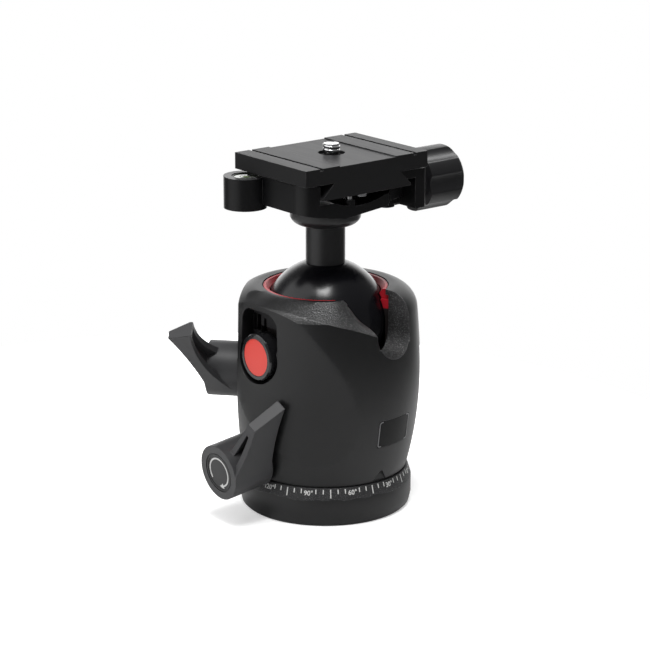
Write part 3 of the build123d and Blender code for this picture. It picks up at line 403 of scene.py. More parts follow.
# Every field that reads the index is stored before the points that carry a number are deleted.
moved = tick_tree.nodes.new("GeometryNodeSetPosition")
tick_tree.links.new(line.outputs["Mesh"], moved.inputs["Geometry"])
tick_tree.links.new(spot.outputs["Vector"], moved.inputs["Position"])
stored = moved.outputs["Geometry"]
for label, value in (("turn", angle), ("tall", length), ("drop", at_number)):
    store = tick_tree.nodes.new("GeometryNodeStoreNamedAttribute")
    store.data_type = "FLOAT"
    store.domain = "POINT"
    store.inputs["Name"].default_value = label
    tick_tree.links.new(stored, store.inputs["Geometry"])
    tick_tree.links.new(value, store.inputs["Value"])
    stored = store.outputs["Geometry"]


def kept(tree, label):
    """Reads a stored number back."""
    node = tree.nodes.new("GeometryNodeInputNamedAttribute")
    node.data_type = "FLOAT"
    node.inputs["Name"].default_value = label
    return node.outputs["Attribute"]


bare = tick_tree.nodes.new("GeometryNodeDeleteGeometry")
bare.domain = "POINT"
tick_tree.links.new(stored, bare.inputs["Geometry"])
tick_tree.links.new(kept(tick_tree, "drop"), bare.inputs["Selection"])
mark = tick_tree.nodes.new("GeometryNodeMeshCube")
spread = tick_tree.nodes.new("GeometryNodeInstanceOnPoints")
tick_tree.links.new(bare.outputs["Geometry"], spread.inputs["Points"])
tick_tree.links.new(mark.outputs["Mesh"], spread.inputs["Instance"])
size = tick_tree.nodes.new("ShaderNodeCombineXYZ")
join(tick_tree, tick_in["Thickness"], size.inputs["X"])
join(tick_tree, tick_in["Width"], size.inputs["Y"])
join(tick_tree, kept(tick_tree, "tall"), size.inputs["Z"])
tick_tree.links.new(size.outputs["Vector"], spread.inputs["Scale"])
pose = tick_tree.nodes.new("ShaderNodeCombineXYZ")
pose.inputs["Y"].default_value = Vector((SLOPE_DOWN, SLOPE_OUT)).angle(Vector((0, 1))) - radians(90)
join(tick_tree, kept(tick_tree, "turn"), pose.inputs["Z"])
tick_tree.links.new(pose.outputs["Vector"], spread.inputs["Rotation"])
close_tree(tick_tree, spread.outputs["Instances"], tick_out, white_print)
ticks = grow("degree_ticks", tick_tree, white_print, Count=FULL_TURN // TICK_STEP, Step=-radians(TICK_STEP),
             Zero=radians(SCALE_ZERO), Width=TICK_W, Short=TICK_SHORT, Long=TICK_LONG, Thickness=PRINT_T)
register(ticks, node_body["base_disc"], "base_disc")

NUMBER_H, NUMBER_BOLD, NUMBER_CURVE_STEPS = 2.3 * MM, 0.04 * MM, 3
NUMBER_DROP = 1.75 * MM      # centre of the digits, down the slope from the bevel's top edge


def flat_text(text, height, thickness):
    """Work mesh of a line of text, centred on the origin in its own plane."""
    font = bpy.data.curves.new("text", "FONT")
    font.body = text
    font.size = height
    font.extrude = thickness / 2
    font.align_x = "CENTER"
    font.align_y = "CENTER"
    font.resolution_u = NUMBER_CURVE_STEPS
    font.offset = NUMBER_BOLD
    holder = bpy.data.objects.new("text", font)
    bpy.context.collection.objects.link(holder)
    bpy.context.view_layer.update()
    ready = holder.evaluated_get(bpy.context.evaluated_depsgraph_get())
    mesh = bpy.data.meshes.new_from_object(ready)
    work = bmesh.new()
    work.from_mesh(mesh)
    bpy.data.objects.remove(holder)
    bpy.data.meshes.remove(mesh)
    bpy.data.curves.remove(font)
    bmesh.ops.remove_doubles(work, verts=work.verts, dist=0.002 * MM)
    return work


numbers = bmesh.new()
for value in range(0, FULL_TURN, TICK_STEP * NUMBER_EVERY):
    digits = flat_text(f"{value}°", NUMBER_H, PRINT_T)
    number_turn = radians(SCALE_ZERO - value)
    for vert in digits.verts:
        across, up, out = vert.co
        drop = NUMBER_DROP - up
        r = BEVEL_TOP_R + drop * SLOPE_OUT + out * SLOPE_DOWN
        turn_angle = number_turn + across / r
        z = BEVEL_TOP_Z - drop * SLOPE_DOWN + out * SLOPE_OUT
        vert.co = (r * cos(turn_angle), r * sin(turn_angle), z)
    part = bpy.data.meshes.new("digits")
    digits.to_mesh(part)
    digits.free()
    numbers.from_mesh(part)
    bpy.data.meshes.remove(part)
register(new_piece("degree_numbers", numbers, white_print), node_body["base_disc"], "base_disc")

# ---------------------------------------------------------------- insert, axle and screws of the base
# The steel insert for the tripod's screw, the turned axle that three screws pull against the
# disc, and the washer and nut that hold the body down on it. A black slip washer lies between
# the disc and the body.

ZINC_GREY, BRIGHT_RUB, TINT_DARKER = (0.55, 0.55, 0.57), (0.8, 0.8, 0.8), 0.86


def turned(name, colour=ZINC_GREY, gloss=0.26):
    """Zinc-plated or bright turned steel with faint concentric tool marks."""
    material, tree, shader = new_material(name, metallic=1.0)
    rings = noise(tree, 900.0, 2.0, stretch=(0.06, 0.06, 1.0))
    tint = blend_colours(tree, ramp(tree, noise(tree, 70.0), 0.3, 0.7), colour,
                         tuple(TINT_DARKER * part for part in colour))
    edges = put_group(tree, edge_wear_highlight_group, Worn=BRIGHT_RUB, Radius=0.12 * MM, Amount=0.3)
    tree.links.new(tint, edges.inputs["Paint"])
    tree.links.new(edges.outputs["Color"], shader.inputs["Base Color"])
    tree.links.new(ramp(tree, rings, 0.3, 0.7, gloss - 0.05, gloss + 0.07), shader.inputs["Roughness"])
    tree.links.new(bump(tree, rings, 0.006, edges.outputs["Normal"]), shader.inputs["Normal"])
    return material


zinc = turned("zinc_plated_steel")
dress(zinc, "thread_insert", "pan_spindle", "base_screws", "retaining_washer", "retaining_nut")
dress(painted("black_washer", colour=(0.006, 0.006, 0.006), gloss=0.5, wear=0.0), "thrust_washer")

# ---------------------------------------------------------------- body casting
# The barrel-shaped housing, die-cast in aluminium and painted satin black. The sloping brow
# beside the ball and the walls of the notch keep the coarse grain of the die.

NOTCH_ANGLE, NOTCH_HALF = radians(-80.7), 8.35 * MM
NOTCH_FLOOR_Z, NOTCH_NEAR, NOTCH_FAR_R = 57 * MM, 15 * MM, 32.4 * MM
BROW_SPAN, BROW_BOTTOM_Z, BROW_TOP_Z = radians(150), 58 * MM, 77.9 * MM
BROW_STEEPEST, BROW_FLATTEST, BROW_GRAIN = 0.3, 0.96, 0.7
# Where the brow's grain fades out, and with it its paler colour, as painted shade at the brow's left end.
GRAIN_ANGLE, GRAIN_NONE, GRAIN_FULL = radians(-100), 8 * MM, 20 * MM


def coarse_mask(tree):
    """The grained faces that the casting's mesh names, fading out towards the left end of the brow, which
    also darkens that end as painted shade.
    """
    node = tree.nodes.new("ShaderNodeAttribute")
    node.attribute_name = "grained"
    along_brow = measure(tree, "DOT_PRODUCT", own_place(tree), (cos(GRAIN_ANGLE), sin(GRAIN_ANGLE), 0))
    grain_and_shade_fade = ramp(tree, along_brow, GRAIN_NONE, GRAIN_FULL)
    return calc(tree, "MULTIPLY", node.outputs["Fac"], grain_and_shade_fade)


body_paint = grained("body_satin_black", coarse_mask, size=2300.0, depth=0.11,
                     coarse=(0.014, 0.014, 0.0145), crown_glint=(0.15, 0.15, 0.153), coarse_gloss=0.46, shine=0.8)
casting = welded("housing")
casting.normal_update()
grain_layer = casting.faces.layers.float.new("grained")
along = Vector((cos(NOTCH_ANGLE), sin(NOTCH_ANGLE), 0))
aside = Vector((-sin(NOTCH_ANGLE), cos(NOTCH_ANGLE), 0))
for face in casting.faces:
    centre = face.calc_center_median()
    left_turn = -Vector((centre.dot(along), centre.dot(aside))).angle_signed(Vector((1, 0)))
    on_brow = (0 < left_turn < BROW_SPAN and BROW_STEEPEST < face.normal.z < BROW_FLATTEST
               and BROW_BOTTOM_Z < centre.z < BROW_TOP_Z)
    in_notch = (centre.dot(along) > NOTCH_NEAR and abs(centre.dot(aside)) < NOTCH_HALF
                and centre.z > NOTCH_FLOOR_Z and centre.xy.length < NOTCH_FAR_R)
    face[grain_layer] = 1.0 if in_notch else BROW_GRAIN if on_brow else 0.0
register(new_piece("housing_skin", casting, body_paint), node_body["housing"], "housing", "housing")

# ---------------------------------------------------------------- blank plaque
# A thin moulded plate, glued into a shallow recess of the casting above the scale. Its face is
# bare, inside a low grey rim.

PLAQUE_ANGLE, PLAQUE_Z = radians(-80.3), 31.8 * MM
PLAQUE_W, PLAQUE_H, PLAQUE_RIM, PLAQUE_CORNER = 15.2 * MM, 9.3 * MM, 0.35 * MM, 1.0 * MM
PLAQUE_SINK, PLAQUE_RISE = -0.05 * MM, 0.12 * MM


def rounded_loop(width, height, corner, steps=6):
    """Points round a rectangle with rounded corners, in its own plane."""
    points = []
    for quarter, (sx, sy) in enumerate(((1, 1), (-1, 1), (-1, -1), (1, -1))):
        for step in range(steps + 1):
            a = radians(90) * (quarter + step / steps)
            points.append(((width / 2 - corner) * sx + corner * cos(a),
                           (height / 2 - corner) * sy + corner * sin(a)))
    return points


plaque_out = Vector((cos(PLAQUE_ANGLE), sin(PLAQUE_ANGLE), 0))
plaque_side = Vector((-sin(PLAQUE_ANGLE), cos(PLAQUE_ANGLE), 0))
BELLY_R, BELLY_Z, FLANK_R = 32.8 * MM, 48.0 * MM, 130.0 * MM


def on_flank(across, up, lift):
    """Point on the casting's flank, by its place on the plaque and its height over the skin."""
    z = PLAQUE_Z + up
    r = BELLY_R - (FLANK_R - sqrt(FLANK_R**2 - (z - BELLY_Z) ** 2)) + lift
    return plaque_side * across + plaque_out * sqrt(r * r - across * across) + Vector((0, 0, z))


def bridge(work, loops, closed=True):
    """Quads between each loop of points and the next."""
    for first, second in zip(loops, loops[1:] + loops[:1] if closed else loops[1:]):
        for i, corner in enumerate(first):
            j = (i + 1) % len(first)
            work.faces.new((corner, first[j], second[j], second[i]))


dress(painted("plaque_black", colour=(0.004, 0.004, 0.0042), gloss=0.42, wear=0.0, level=0.16),
      "blank_plaque")
rim = bmesh.new()
loops = []
for inset, lift in ((0.0, PLAQUE_SINK), (0.0, PLAQUE_RISE),
                    (PLAQUE_RIM, PLAQUE_RISE), (PLAQUE_RIM, PLAQUE_SINK)):
    loop = rounded_loop(PLAQUE_W - 2 * inset, PLAQUE_H - 2 * inset, PLAQUE_CORNER - inset)
    loops.append([rim.verts.new(on_flank(x, y, lift)) for x, y in loop])
bridge(rim, loops)
bmesh.ops.recalc_face_normals(rim, faces=rim.faces)
plaque_rim = painted("plaque_rim_grey", colour=(0.15, 0.15, 0.155), gloss=0.3, wear=0.0, radius=0.05)
register(new_piece("plaque_rim", rim, plaque_rim), node_body["blank_plaque"], "blank_plaque")

# ---------------------------------------------------------------- friction parts inside the body
# Under the ball: the bearing plate, bushes, acetal cup with its spring, and the plunger, shoe
# and pad that press on ball and axle. Brass, acetal and spring steel, all plain.

brass = turned("brass", colour=(0.72, 0.52, 0.24), gloss=0.3)
dress(brass, "pan_bush", "lock_bush", "lock_plunger", "pan_lock_bush", "pan_shoe")
dress(painted("white_acetal", colour=(0.62, 0.61, 0.58), gloss=0.42, wear=0.0), "ball_cup", "friction_pad")
black_oxide_and_shade = painted("black_oxide_steel_and_shade", colour=(0.012, 0.012, 0.013), gloss=0.35, wear=0.2, metallic=0.3)
dress(zinc, "cup_spring", "ball_lock_shaft", "pan_lock_shaft", "button_stem")
dress(black_oxide_and_shade, "pad_screw")
dress(painted("plate_satin_black", gloss=0.42), "bearing_plate")

# ---------------------------------------------------------------- selector ring
# The red moulded ring round the ball. It shows as a thin line at the rim and as two stepped
# ends in the notch. Its lower part, which slides in the body, is coloured black below a set height.

RING_RED, RING_LOWER_BLACK = (0.40, 0.008, 0.018), (0.010, 0.008, 0.008)
RED_DOWN_TO, RING_BLACK_EDGE = 71.5 * MM, 0.3 * MM
ring_red, ring_tree, ring_shader = new_material("ring_red_plastic", level=0.35)
ring_height = component(ring_tree, own_place(ring_tree), "Z")
below_red = ramp(ring_tree, ring_height, RED_DOWN_TO, RED_DOWN_TO - RING_BLACK_EDGE)
ring_colour = blend_colours(ring_tree, below_red, RING_RED, RING_LOWER_BLACK)
ring_tree.links.new(ring_colour, ring_shader.inputs["Base Color"])
ring_coat = put_group(ring_tree, coat_group, Grain=PAINT_GRAIN, Low_gloss=0.35, High_gloss=0.42)
ring_tree.links.new(ring_coat.outputs["Roughness"], ring_shader.inputs["Roughness"])
ring_tree.links.new(bump(ring_tree, ring_coat.outputs["Height"], depth=0.003), ring_shader.inputs["Normal"])
dress(ring_red, "selector_ring")

# ---------------------------------------------------------------- selector button and its gate
# A gloss black push button, moulded in plastic, with a plain red disc let into its face. It sits
# on a steel stem that runs in the slotted gate plate behind it.

dress(painted("gloss_black_plastic", colour=(0.008, 0.008, 0.009), gloss=0.2, wear=0.0, coat=0.3, level=0.4),
      "selector_button")
dress(painted("button_red", colour=(0.78, 0.072, 0.056), gloss=0.3, wear=0.0, depth=0.002, level=0.3),
      "button_inlay")
dress(painted("gate_black_plastic", colour=(0.009, 0.009, 0.010), gloss=0.5, wear=0.0, depth=0.006),
      "gate_plate")

# ---------------------------------------------------------------- locking levers and their caps
# Two levers moulded in glass-filled nylon, hollow on the body side, with a round cap over the
# screw. Each cap has a groove and a printed arrow round it that shows the way to lock.

NYLON_GRAIN = 1500.0
lever_plastic = painted("lever_satin_nylon", colour=(0.037, 0.037, 0.039), gloss=0.47, grain=NYLON_GRAIN,
                        depth=0.010, edging=(0.07, 0.07, 0.072), wear=0.5, radius=0.35, level=0.42)
dress(lever_plastic, "ball_lock_lever", "pan_lock_lever")
cap_plastic = painted("cap_satin_nylon", colour=(0.014, 0.014, 0.015), gloss=0.4, grain=NYLON_GRAIN,
                      depth=0.006, wear=0.2, radius=0.12)
ARROW_R, ARROW_W, ARROW_T = 5.0 * MM, 0.55 * MM, 0.05 * MM
ARROW_START, ARROW_END = radians(-70), radians(215)
ARROW_HEAD_W, ARROW_HEAD_L, ARROW_HEAD_STEPS = 2.0 * MM, radians(24), 4
PRINT_SINK, ARROW_TIP_W = 0.02 * MM, 0.04 * MM
RIM_R, RIM_W, RIM_T, RIM_SINK = 6.35 * MM, 0.5 * MM, 0.16 * MM, 0.05 * MM


def band_on_disc(work, place, radius, widths, start, end, bottom, top, steps=48, closed=False):
    """Flat band round a circle, with its widths at start and end."""
    rows = []
    for step in range(steps if closed else steps + 1):
        part = step / steps
        half = (widths[0] + (widths[1] - widths[0]) * part) / 2
        a = start + (end - start) * part
        inner, outer = radius - half, radius + half
        rows.append([work.verts.new(place @ Vector((r * cos(a), r * sin(a), z)))
                     for r, z in ((inner, bottom), (outer, bottom), (outer, top), (inner, top))])
    bridge(work, rows, closed)
    if not closed:
        work.faces.new(rows[0])
        work.faces.new(rows[-1])


def hoop(work, place, radius, width, bottom, top):
    """Flat band all the way round."""
    band_on_disc(work, place, radius, (width, width), 0.0, 2 * pi, bottom, top, closed=True)


def disc_frame(node, outward):
    """Matrix of a cap's outer face: z outward, x sideways and y upward."""
    verts = frame["nodes"][node].data.vertices
    outward = outward.normalized()
    lowest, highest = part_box(node)
    middle = (lowest + highest) / 2
    top = max((vert.co - middle).dot(outward) for vert in verts)
    up = (Vector((0, 0, 1)) - outward * outward.z).normalized()
    matrix = Matrix((up.cross(outward), up, outward)).transposed().to_4x4()
    matrix.translation = middle + outward * top
    return matrix


LOCK_ANGLE, PAN_TILT = radians(131.3), radians(7.0)
lock_out = Vector((cos(LOCK_ANGLE), sin(LOCK_ANGLE), 0))
pan_out = Vector((-cos(PAN_TILT), 0, -sin(PAN_TILT)))
for cap, outward in (("ball_lock_cap", lock_out), ("pan_lock_cap", pan_out)):
    dress(cap_plastic, cap)
    face_frame = disc_frame(cap, outward)
    arrow = bmesh.new()
    band_on_disc(arrow, face_frame, ARROW_R, (ARROW_W, ARROW_W), ARROW_START, ARROW_END, -PRINT_SINK, ARROW_T)
    band_on_disc(arrow, face_frame, ARROW_R, (ARROW_TIP_W, ARROW_HEAD_W), ARROW_START - ARROW_HEAD_L,
                 ARROW_START, -PRINT_SINK, ARROW_T, ARROW_HEAD_STEPS)
    bmesh.ops.recalc_face_normals(arrow, faces=arrow.faces)
    register(new_piece(cap + "_arrow", arrow, white_print), node_body[cap], cap)
    ring = bmesh.new()
    hoop(ring, face_frame, RIM_R, RIM_W, -RIM_SINK, RIM_T)
    bmesh.ops.recalc_face_normals(ring, faces=ring.faces)
    register(new_piece(cap + "_rim", ring, cap_plastic), node_body[cap], cap)

# ---------------------------------------------------------------- ball
# Turned aluminium, hard-anodised black and polished to a soft gloss. It rests in the acetal cup,
# which the ball lock's plunger lifts against it.


def anodised(name, colour, gloss, stretch, marks, level):
    """Anodised metal with fine marks along one way and barely rubbed edges."""
    material, tree, shader = new_material(name, level=level)
    lines = noise(tree, 700.0, 2.0, stretch)
    edges = put_group(tree, edge_wear_highlight_group, Paint=colour, Worn=RUBBED_AND_LIT_EDGE_GREY, Radius=0.15 * MM, Amount=0.3)
    tree.links.new(edges.outputs["Color"], shader.inputs["Base Color"])
    tree.links.new(ramp(tree, lines, 0.25, 0.75, gloss - 0.02, gloss + 0.03), shader.inputs["Roughness"])
    tree.links.new(bump(tree, lines, marks, edges.outputs["Normal"]), shader.inputs["Normal"])
    return material


dress(anodised("polished_ball_black", colour=(0.003, 0.003, 0.0045), gloss=0.24, stretch=(0.15, 0.15, 1.0),
               marks=0.0008, level=0.42), "ball")

# ---------------------------------------------------------------- neck
# The stem with its flange, turned from aluminium and anodised black, with fine tool marks. It is
# screwed into the ball, and carries the clamp.

dress(anodised("neck_satin_black", colour=(0.013, 0.013, 0.014), gloss=0.33, stretch=(0.05, 0.05, 1.0),
               marks=0.003, level=0.38), "neck")

# ---------------------------------------------------------------- clamp with its screws and pins
# The fixed jaw is cast with the floor and painted like the body, and the other jaw slides on two
# steel pins. A bright catch pin stands in the channel's floor.

# Its strongly paler edges are partly rubbed paint and partly a painted highlight along the lit rounded
# corners.
clamp_paint = painted("clamp_satin_black", colour=(0.0055, 0.0055, 0.0060), gloss=0.33, wear=0.75,
                      radius=0.22, edging=(0.20, 0.20, 0.205), level=0.2)
dress(clamp_paint, "clamp_body", "moving_jaw")
bright_steel = turned("bright_steel", colour=(0.72, 0.72, 0.73), gloss=0.2)
dress(bright_steel, "catch_pin", "guide_pins", "clamp_screw")
# The neck bolt is black-oxide steel, and its dark colour also stands in for the shade in the channel's
# hollow, as painted shade.
dress(black_oxide_and_shade, "neck_bolt", "neck_screws")

# ---------------------------------------------------------------- clamp knob
# A six-lobed knob, moulded in satin black plastic on the end of the clamp screw. Its lobes are
# worn a little paler by the hand.

dress(painted("knob_satin_plastic", colour=(0.011, 0.011, 0.012), gloss=0.42, grain=1400.0, depth=0.008,
              edging=(0.05, 0.05, 0.052), wear=0.4, radius=0.3), "clamp_knob")

# ---------------------------------------------------------------- bubble level
# A small round level pressed into the clamp's boss: dark green fluid under a clear window,
# a bubble, and a black ring.

dress(painted("level_fluid", colour=(0.025, 0.045, 0.010), gloss=0.12, wear=0.0, depth=0.0005, coat=0.6),
      "level_vial")
LEVEL_X, LEVEL_Y, LEVEL_R = -24.5 * MM, 12.8 * MM, 4.5 * MM
MARK_R, MARK_W, MARK_T = 1.75 * MM, 0.22 * MM, 0.04 * MM
COLLAR_W, COLLAR_T, COLLAR_SINK = 0.6 * MM, 0.2 * MM, 0.05 * MM
BUBBLE_R, BUBBLE_FLATNESS, BUBBLE_OFF_CENTRE = 1.35 * MM, 0.12, (0.3 * MM, -0.2 * MM, 0)
level_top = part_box("level_vial")[1].z
level_frame = Matrix.Translation((LEVEL_X, LEVEL_Y, level_top))
marking = bmesh.new()
hoop(marking, level_frame, MARK_R, MARK_W, -PRINT_SINK, MARK_T)
hoop(marking, level_frame, LEVEL_R - COLLAR_W / 2, COLLAR_W, -COLLAR_SINK, COLLAR_T)
bmesh.ops.recalc_face_normals(marking, faces=marking.faces)
register(new_piece("level_rings", marking, cap_plastic), node_body["level_vial"], "level_vial")
bubble = bmesh.new()
bubble_place = (level_frame @ Matrix.Translation(BUBBLE_OFF_CENTRE)
                @ Matrix.Diagonal((1, 1, BUBBLE_FLATNESS, 1)))
bmesh.ops.create_uvsphere(bubble, u_segments=24, v_segments=12, radius=BUBBLE_R, matrix=bubble_place)
bubble_green = painted("level_bubble", colour=(0.10, 0.15, 0.05), gloss=0.12, wear=0.0, depth=0.0005,
                       coat=0.6)
register(new_piece("level_bubble", bubble, bubble_green), node_body["level_vial"], "level_vial")

# ---------------------------------------------------------------- quick-release plate
# A bar of extruded aluminium, machined and anodised black. Its top is brushed along the grooves,
# and two stop screws stick out of its foot.

PLATE_BLACK = (0.012, 0.012, 0.0125)
STREAK_DARK, STREAK_PALE = (0.010, 0.010, 0.0105), (0.022, 0.022, 0.0235)
plate_material, tree, shader = new_material("plate_brushed_black", level=0.18)
streaks = noise(tree, 1500.0, stretch=(1.0, 0.03, 1.0))
facing_up = component(tree, tree.nodes.new("ShaderNodeNewGeometry").outputs["Normal"], "Z")
brushed = blend_colours(tree, ramp(tree, streaks, 0.3, 0.7), STREAK_DARK, STREAK_PALE)
plate_colour = blend_colours(tree, ramp(tree, facing_up, 0.9, 0.98), PLATE_BLACK, brushed)
plate_edges = put_group(tree, edge_wear_highlight_group, Worn=(0.26, 0.26, 0.265), Radius=0.2 * MM, Amount=0.7)
tree.links.new(plate_colour, plate_edges.inputs["Paint"])
tree.links.new(plate_edges.outputs["Color"], shader.inputs["Base Color"])
tree.links.new(ramp(tree, streaks, 0.25, 0.75, 0.38, 0.46), shader.inputs["Roughness"])
plate_normal = bump(tree, streaks, depth=0.004, normal=plate_edges.outputs["Normal"])
tree.links.new(plate_normal, shader.inputs["Normal"])
dress(plate_material, "quick_release_plate")
dress(zinc, "plate_stop_screws")

# ---------------------------------------------------------------- camera screw
# A quarter-inch steel screw, bright nickel plated, with a slotted head under the plate. Its
# thread is a ridge wound round a core, 20 turns to the inch.

SCREW_X, SCREW_Y = 1.7 * MM, -1.1 * MM
THREAD_CREST, THREAD_CORE, THREAD_PITCH = 3.17 * MM, 2.55 * MM, 1.27 * MM
THREAD_BOTTOM, THREAD_TOP = 124.4 * MM, 127.3 * MM
THREAD_STEPS, THREAD_RUN_OUT, THREAD_THINNEST = 40, 0.12, 0.15
THREAD_LIFT, TURNS_LESS, RIDGE_OUT, RIDGE_SIDES = 0.25 * MM, 0.35, 0.05 * MM, 3

screw = welded("camera_screw")
for vert in screw.verts:
    reach = Vector((vert.co.x - SCREW_X, vert.co.y - SCREW_Y))
    if vert.co.z > THREAD_BOTTOM - RIDGE_OUT and reach.length > THREAD_CORE:
        reach *= THREAD_CORE / reach.length
        vert.co.x, vert.co.y = SCREW_X + reach.x, SCREW_Y + reach.y
register(new_piece("camera_screw_skin", screw, bright_steel), node_body["camera_screw"], "camera_screw",
         "camera_screw")

thread_tree, thread_in, thread_out = start_tree(
    "Screw thread", [("Turns", FLOAT), ("Pitch", FLOAT), ("Core", FLOAT), ("Crest", FLOAT),
                     ("Run out", FLOAT)])
helix = thread_tree.nodes.new("GeometryNodeCurveSpiral")
helix.inputs["Resolution"].default_value = THREAD_STEPS
join(thread_tree, thread_in["Turns"], helix.inputs["Rotations"])
join(thread_tree, thread_in["Core"], helix.inputs["Start Radius"])
join(thread_tree, thread_in["Core"], helix.inputs["End Radius"])
rise = calc(thread_tree, "MULTIPLY", thread_in["Turns"], thread_in["Pitch"])
join(thread_tree, rise, helix.inputs["Height"])
upright = thread_tree.nodes.new("GeometryNodeSetCurveNormal")
upright.mode = "Z_UP"
thread_tree.links.new(helix.outputs["Curve"], upright.inputs["Curve"])
wedge = thread_tree.nodes.new("GeometryNodeCurvePrimitiveCircle")
wedge.inputs["Resolution"].default_value = RIDGE_SIDES
ridge_height = calc(thread_tree, "SUBTRACT", thread_in["Crest"], thread_in["Core"])
join(thread_tree, ridge_height, wedge.inputs["Radius"])
along_turn = thread_tree.nodes.new("GeometryNodeSplineParameter").outputs["Factor"]
last_part = calc(thread_tree, "SUBTRACT", 1.0, thread_in["Run out"])
thin_start = ramp(thread_tree, along_turn, 0.0, thread_in["Run out"], THREAD_THINNEST, 1.0)
thin_end = ramp(thread_tree, along_turn, 1.0, last_part, THREAD_THINNEST, 1.0)
thinned = thread_tree.nodes.new("GeometryNodeSetCurveRadius")
thread_tree.links.new(upright.outputs["Curve"], thinned.inputs["Curve"])
join(thread_tree, calc(thread_tree, "MINIMUM", thin_start, thin_end), thinned.inputs["Radius"])
ridge = thread_tree.nodes.new("GeometryNodeCurveToMesh")
thread_tree.links.new(thinned.outputs["Curve"], ridge.inputs["Curve"])
thread_tree.links.new(wedge.outputs["Curve"], ridge.inputs["Profile Curve"])
ridge.inputs["Fill Caps"].default_value = True
close_tree(thread_tree, ridge.outputs["Mesh"], thread_out, bright_steel)
turns = (THREAD_TOP - THREAD_BOTTOM) / THREAD_PITCH - TURNS_LESS
thread = grow("camera_screw_thread", thread_tree, bright_steel, Turns=turns, Pitch=THREAD_PITCH,
              Core=THREAD_CORE + RIDGE_OUT, Crest=THREAD_CREST, Run_out=THREAD_RUN_OUT)
thread.data.transform(Matrix.Translation((SCREW_X, SCREW_Y, THREAD_BOTTOM + THREAD_LIFT)))
register(thread, node_body["camera_screw"], "camera_screw")

# ---------------------------------------------------------------- floor, lights and camera
# A plain pale floor, soft studio lamps in a dark room, and a camera a little above the head.

VIEW_AZIMUTH, VIEW_ELEVATION = radians(-38.7), radians(16.25)
right = Vector((cos(VIEW_AZIMUTH), sin(VIEW_AZIMUTH), 0))
toward = Vector((sin(VIEW_AZIMUTH), -cos(VIEW_AZIMUTH), 0))
UP = Vector((0, 0, 1))
FLOOR_R, FLOOR_LEFT = 0.205, 0.045
sheet = bmesh.new()
bmesh.ops.create_circle(sheet, cap_ends=True, segments=96, radius=FLOOR_R,
                        matrix=Matrix.Translation(-right * FLOOR_LEFT))
floor_mesh = bpy.data.meshes.new("floor")
sheet.to_mesh(floor_mesh)
sheet.free()
floor = bpy.data.objects.new("floor", floor_mesh)
bpy.context.collection.objects.link(floor)
paper, paper_tree, paper_shader = new_material("white_paper", level=0.1)
paper_shader.inputs["Base Color"].default_value = (0.85, 0.85, 0.85, 1)
paper_shader.inputs["Roughness"].default_value = 0.9
FLOOR_GLOW, CLEAR_FROM, CLEAR_TO = 0.40, 0.035, 0.11
seen = paper_tree.nodes.new("ShaderNodeLightPath")
from_centre = measure(paper_tree, "LENGTH", own_place(paper_tree))
far_away = ramp(paper_tree, from_centre, CLEAR_FROM, CLEAR_TO, FLOOR_GLOW, 1.0)
paper_shader.inputs["Emission Color"].default_value = (1, 1, 1, 1)
join(paper_tree, calc(paper_tree, "MULTIPLY", seen.outputs["Is Camera Ray"], far_away),
     paper_shader.inputs["Emission Strength"])
floor.data.materials.append(paper)

ROOM_DARK, ROOM_DIFFUSE = 0.15, 0.34
LEFT_GLOW, BACK_GLOW, TOP_GLOW = 1.2, 1.9, 0.08
HORIZON_EDGE, HORIZON_FULL = 0.50, 0.28         # sine of the height angle
WALL_EDGE, WALL_FULL, CEILING_EDGE, CEILING_FULL = 0.72, 0.95, 0.35, 0.9
LEFT_TURN = radians(62)
left_side = toward * cos(LEFT_TURN) - right * sin(LEFT_TURN)
world = bpy.data.worlds.new("studio")
bpy.context.scene.world = world
world.use_nodes = True
sky = world.node_tree
look = sky.nodes.new("ShaderNodeTexCoord").outputs["Generated"]


def facing(direction):
    """How far a ray points along a direction of the room."""
    return measure(sky, "DOT_PRODUCT", look, direction)


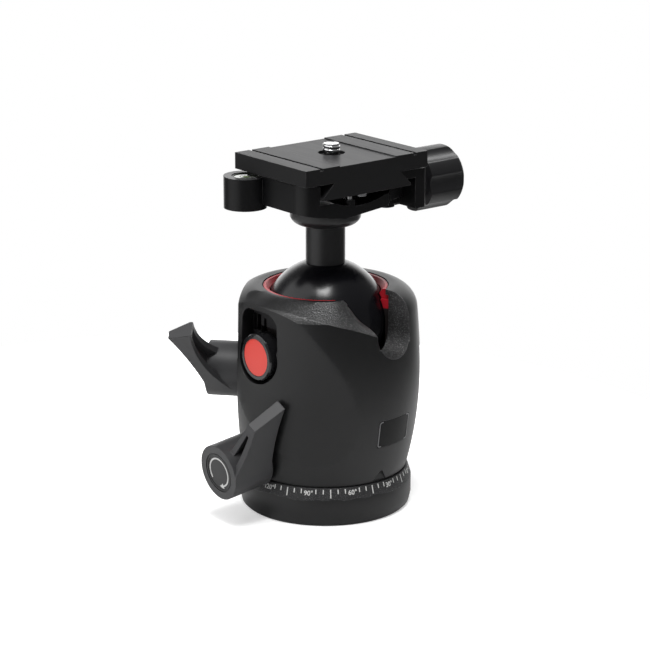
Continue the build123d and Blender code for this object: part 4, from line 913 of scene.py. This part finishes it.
# The room is dark, but for a lit backdrop behind, a paler wall at the left and a faint ceiling.
height_angle = calc(sky, "ABSOLUTE", facing(UP))
near_horizon = ramp(sky, height_angle, HORIZON_EDGE, HORIZON_FULL)
backdrop = ramp(sky, facing(toward), -WALL_EDGE, -WALL_FULL, 0.0, BACK_GLOW)
left_wall = ramp(sky, facing(left_side), WALL_EDGE, WALL_FULL, 0.0, LEFT_GLOW)
walls = calc(sky, "MULTIPLY", calc(sky, "ADD", backdrop, left_wall), near_horizon)
ceiling = ramp(sky, facing(UP), CEILING_EDGE, CEILING_FULL, 0.0, TOP_GLOW)
room = calc(sky, "ADD", calc(sky, "ADD", walls, ceiling), ROOM_DARK)
sky_path = sky.nodes.new("ShaderNodeLightPath")
mirror = calc(sky, "MAXIMUM", sky_path.outputs["Is Glossy Ray"], sky_path.outputs["Is Transmission Ray"])
unlit = calc(sky, "SUBTRACT", 1.0, mirror)
level = calc(sky, "ADD", calc(sky, "MULTIPLY", mirror, room), calc(sky, "MULTIPLY", unlit, ROOM_DIFFUSE))
level = calc(sky, "MAXIMUM", level, sky_path.outputs["Is Camera Ray"])
sky.nodes["Background"].inputs["Color"].default_value = (1, 1, 1, 1)
join(sky, level, sky.nodes["Background"].inputs["Strength"])

VIEW_DISTANCE, LAMP_DISTANCE = 0.830, 0.9
AIM_RIGHT, AIM_HEIGHT = -0.17 * MM, 63.19 * MM
SENSOR_W, LENS_PIXELS, FRAME_PIXELS = 36.0, 2400.0, 650.0
head_middle = Vector((0, 0, 70 * MM))


def soft_box(name, turn_right, elevation, size, power):
    """Square lamp aimed at the head, placed by its turn from the camera's side and its height angle."""
    a, e = radians(turn_right), radians(elevation)
    direction = (toward * cos(a) + right * sin(a)) * cos(e) + UP * sin(e)
    place = head_middle + direction * LAMP_DISTANCE
    data = bpy.data.lights.new(name, "AREA")
    data.shape = "RECTANGLE"
    data.size = data.size_y = size
    data.energy = power
    lamp = bpy.data.objects.new(name, data)
    bpy.context.collection.objects.link(lamp)
    lamp.location = place
    lamp.rotation_euler = (head_middle - place).to_track_quat("-Z", "Y").to_euler()


soft_box("front_top_lamp", turn_right=-8, elevation=68, size=0.28, power=5.6)
soft_box("left_lamp", turn_right=-85, elevation=42, size=0.9, power=3.4)
soft_box("right_lamp", turn_right=150, elevation=50, size=0.3, power=3.2)

back = toward * cos(VIEW_ELEVATION) + UP * sin(VIEW_ELEVATION)
camera_data = bpy.data.cameras.new("camera")
camera_data.sensor_width = SENSOR_W
camera_data.lens = SENSOR_W * LENS_PIXELS / FRAME_PIXELS
camera = bpy.data.objects.new("camera", camera_data)
bpy.context.collection.objects.link(camera)
camera.location = right * AIM_RIGHT + UP * AIM_HEIGHT + back * VIEW_DISTANCE
camera.rotation_euler = back.to_track_quat("Z", "Y").to_euler()
bpy.context.scene.camera = camera
bpy.context.scene.view_settings.view_transform = "Standard"
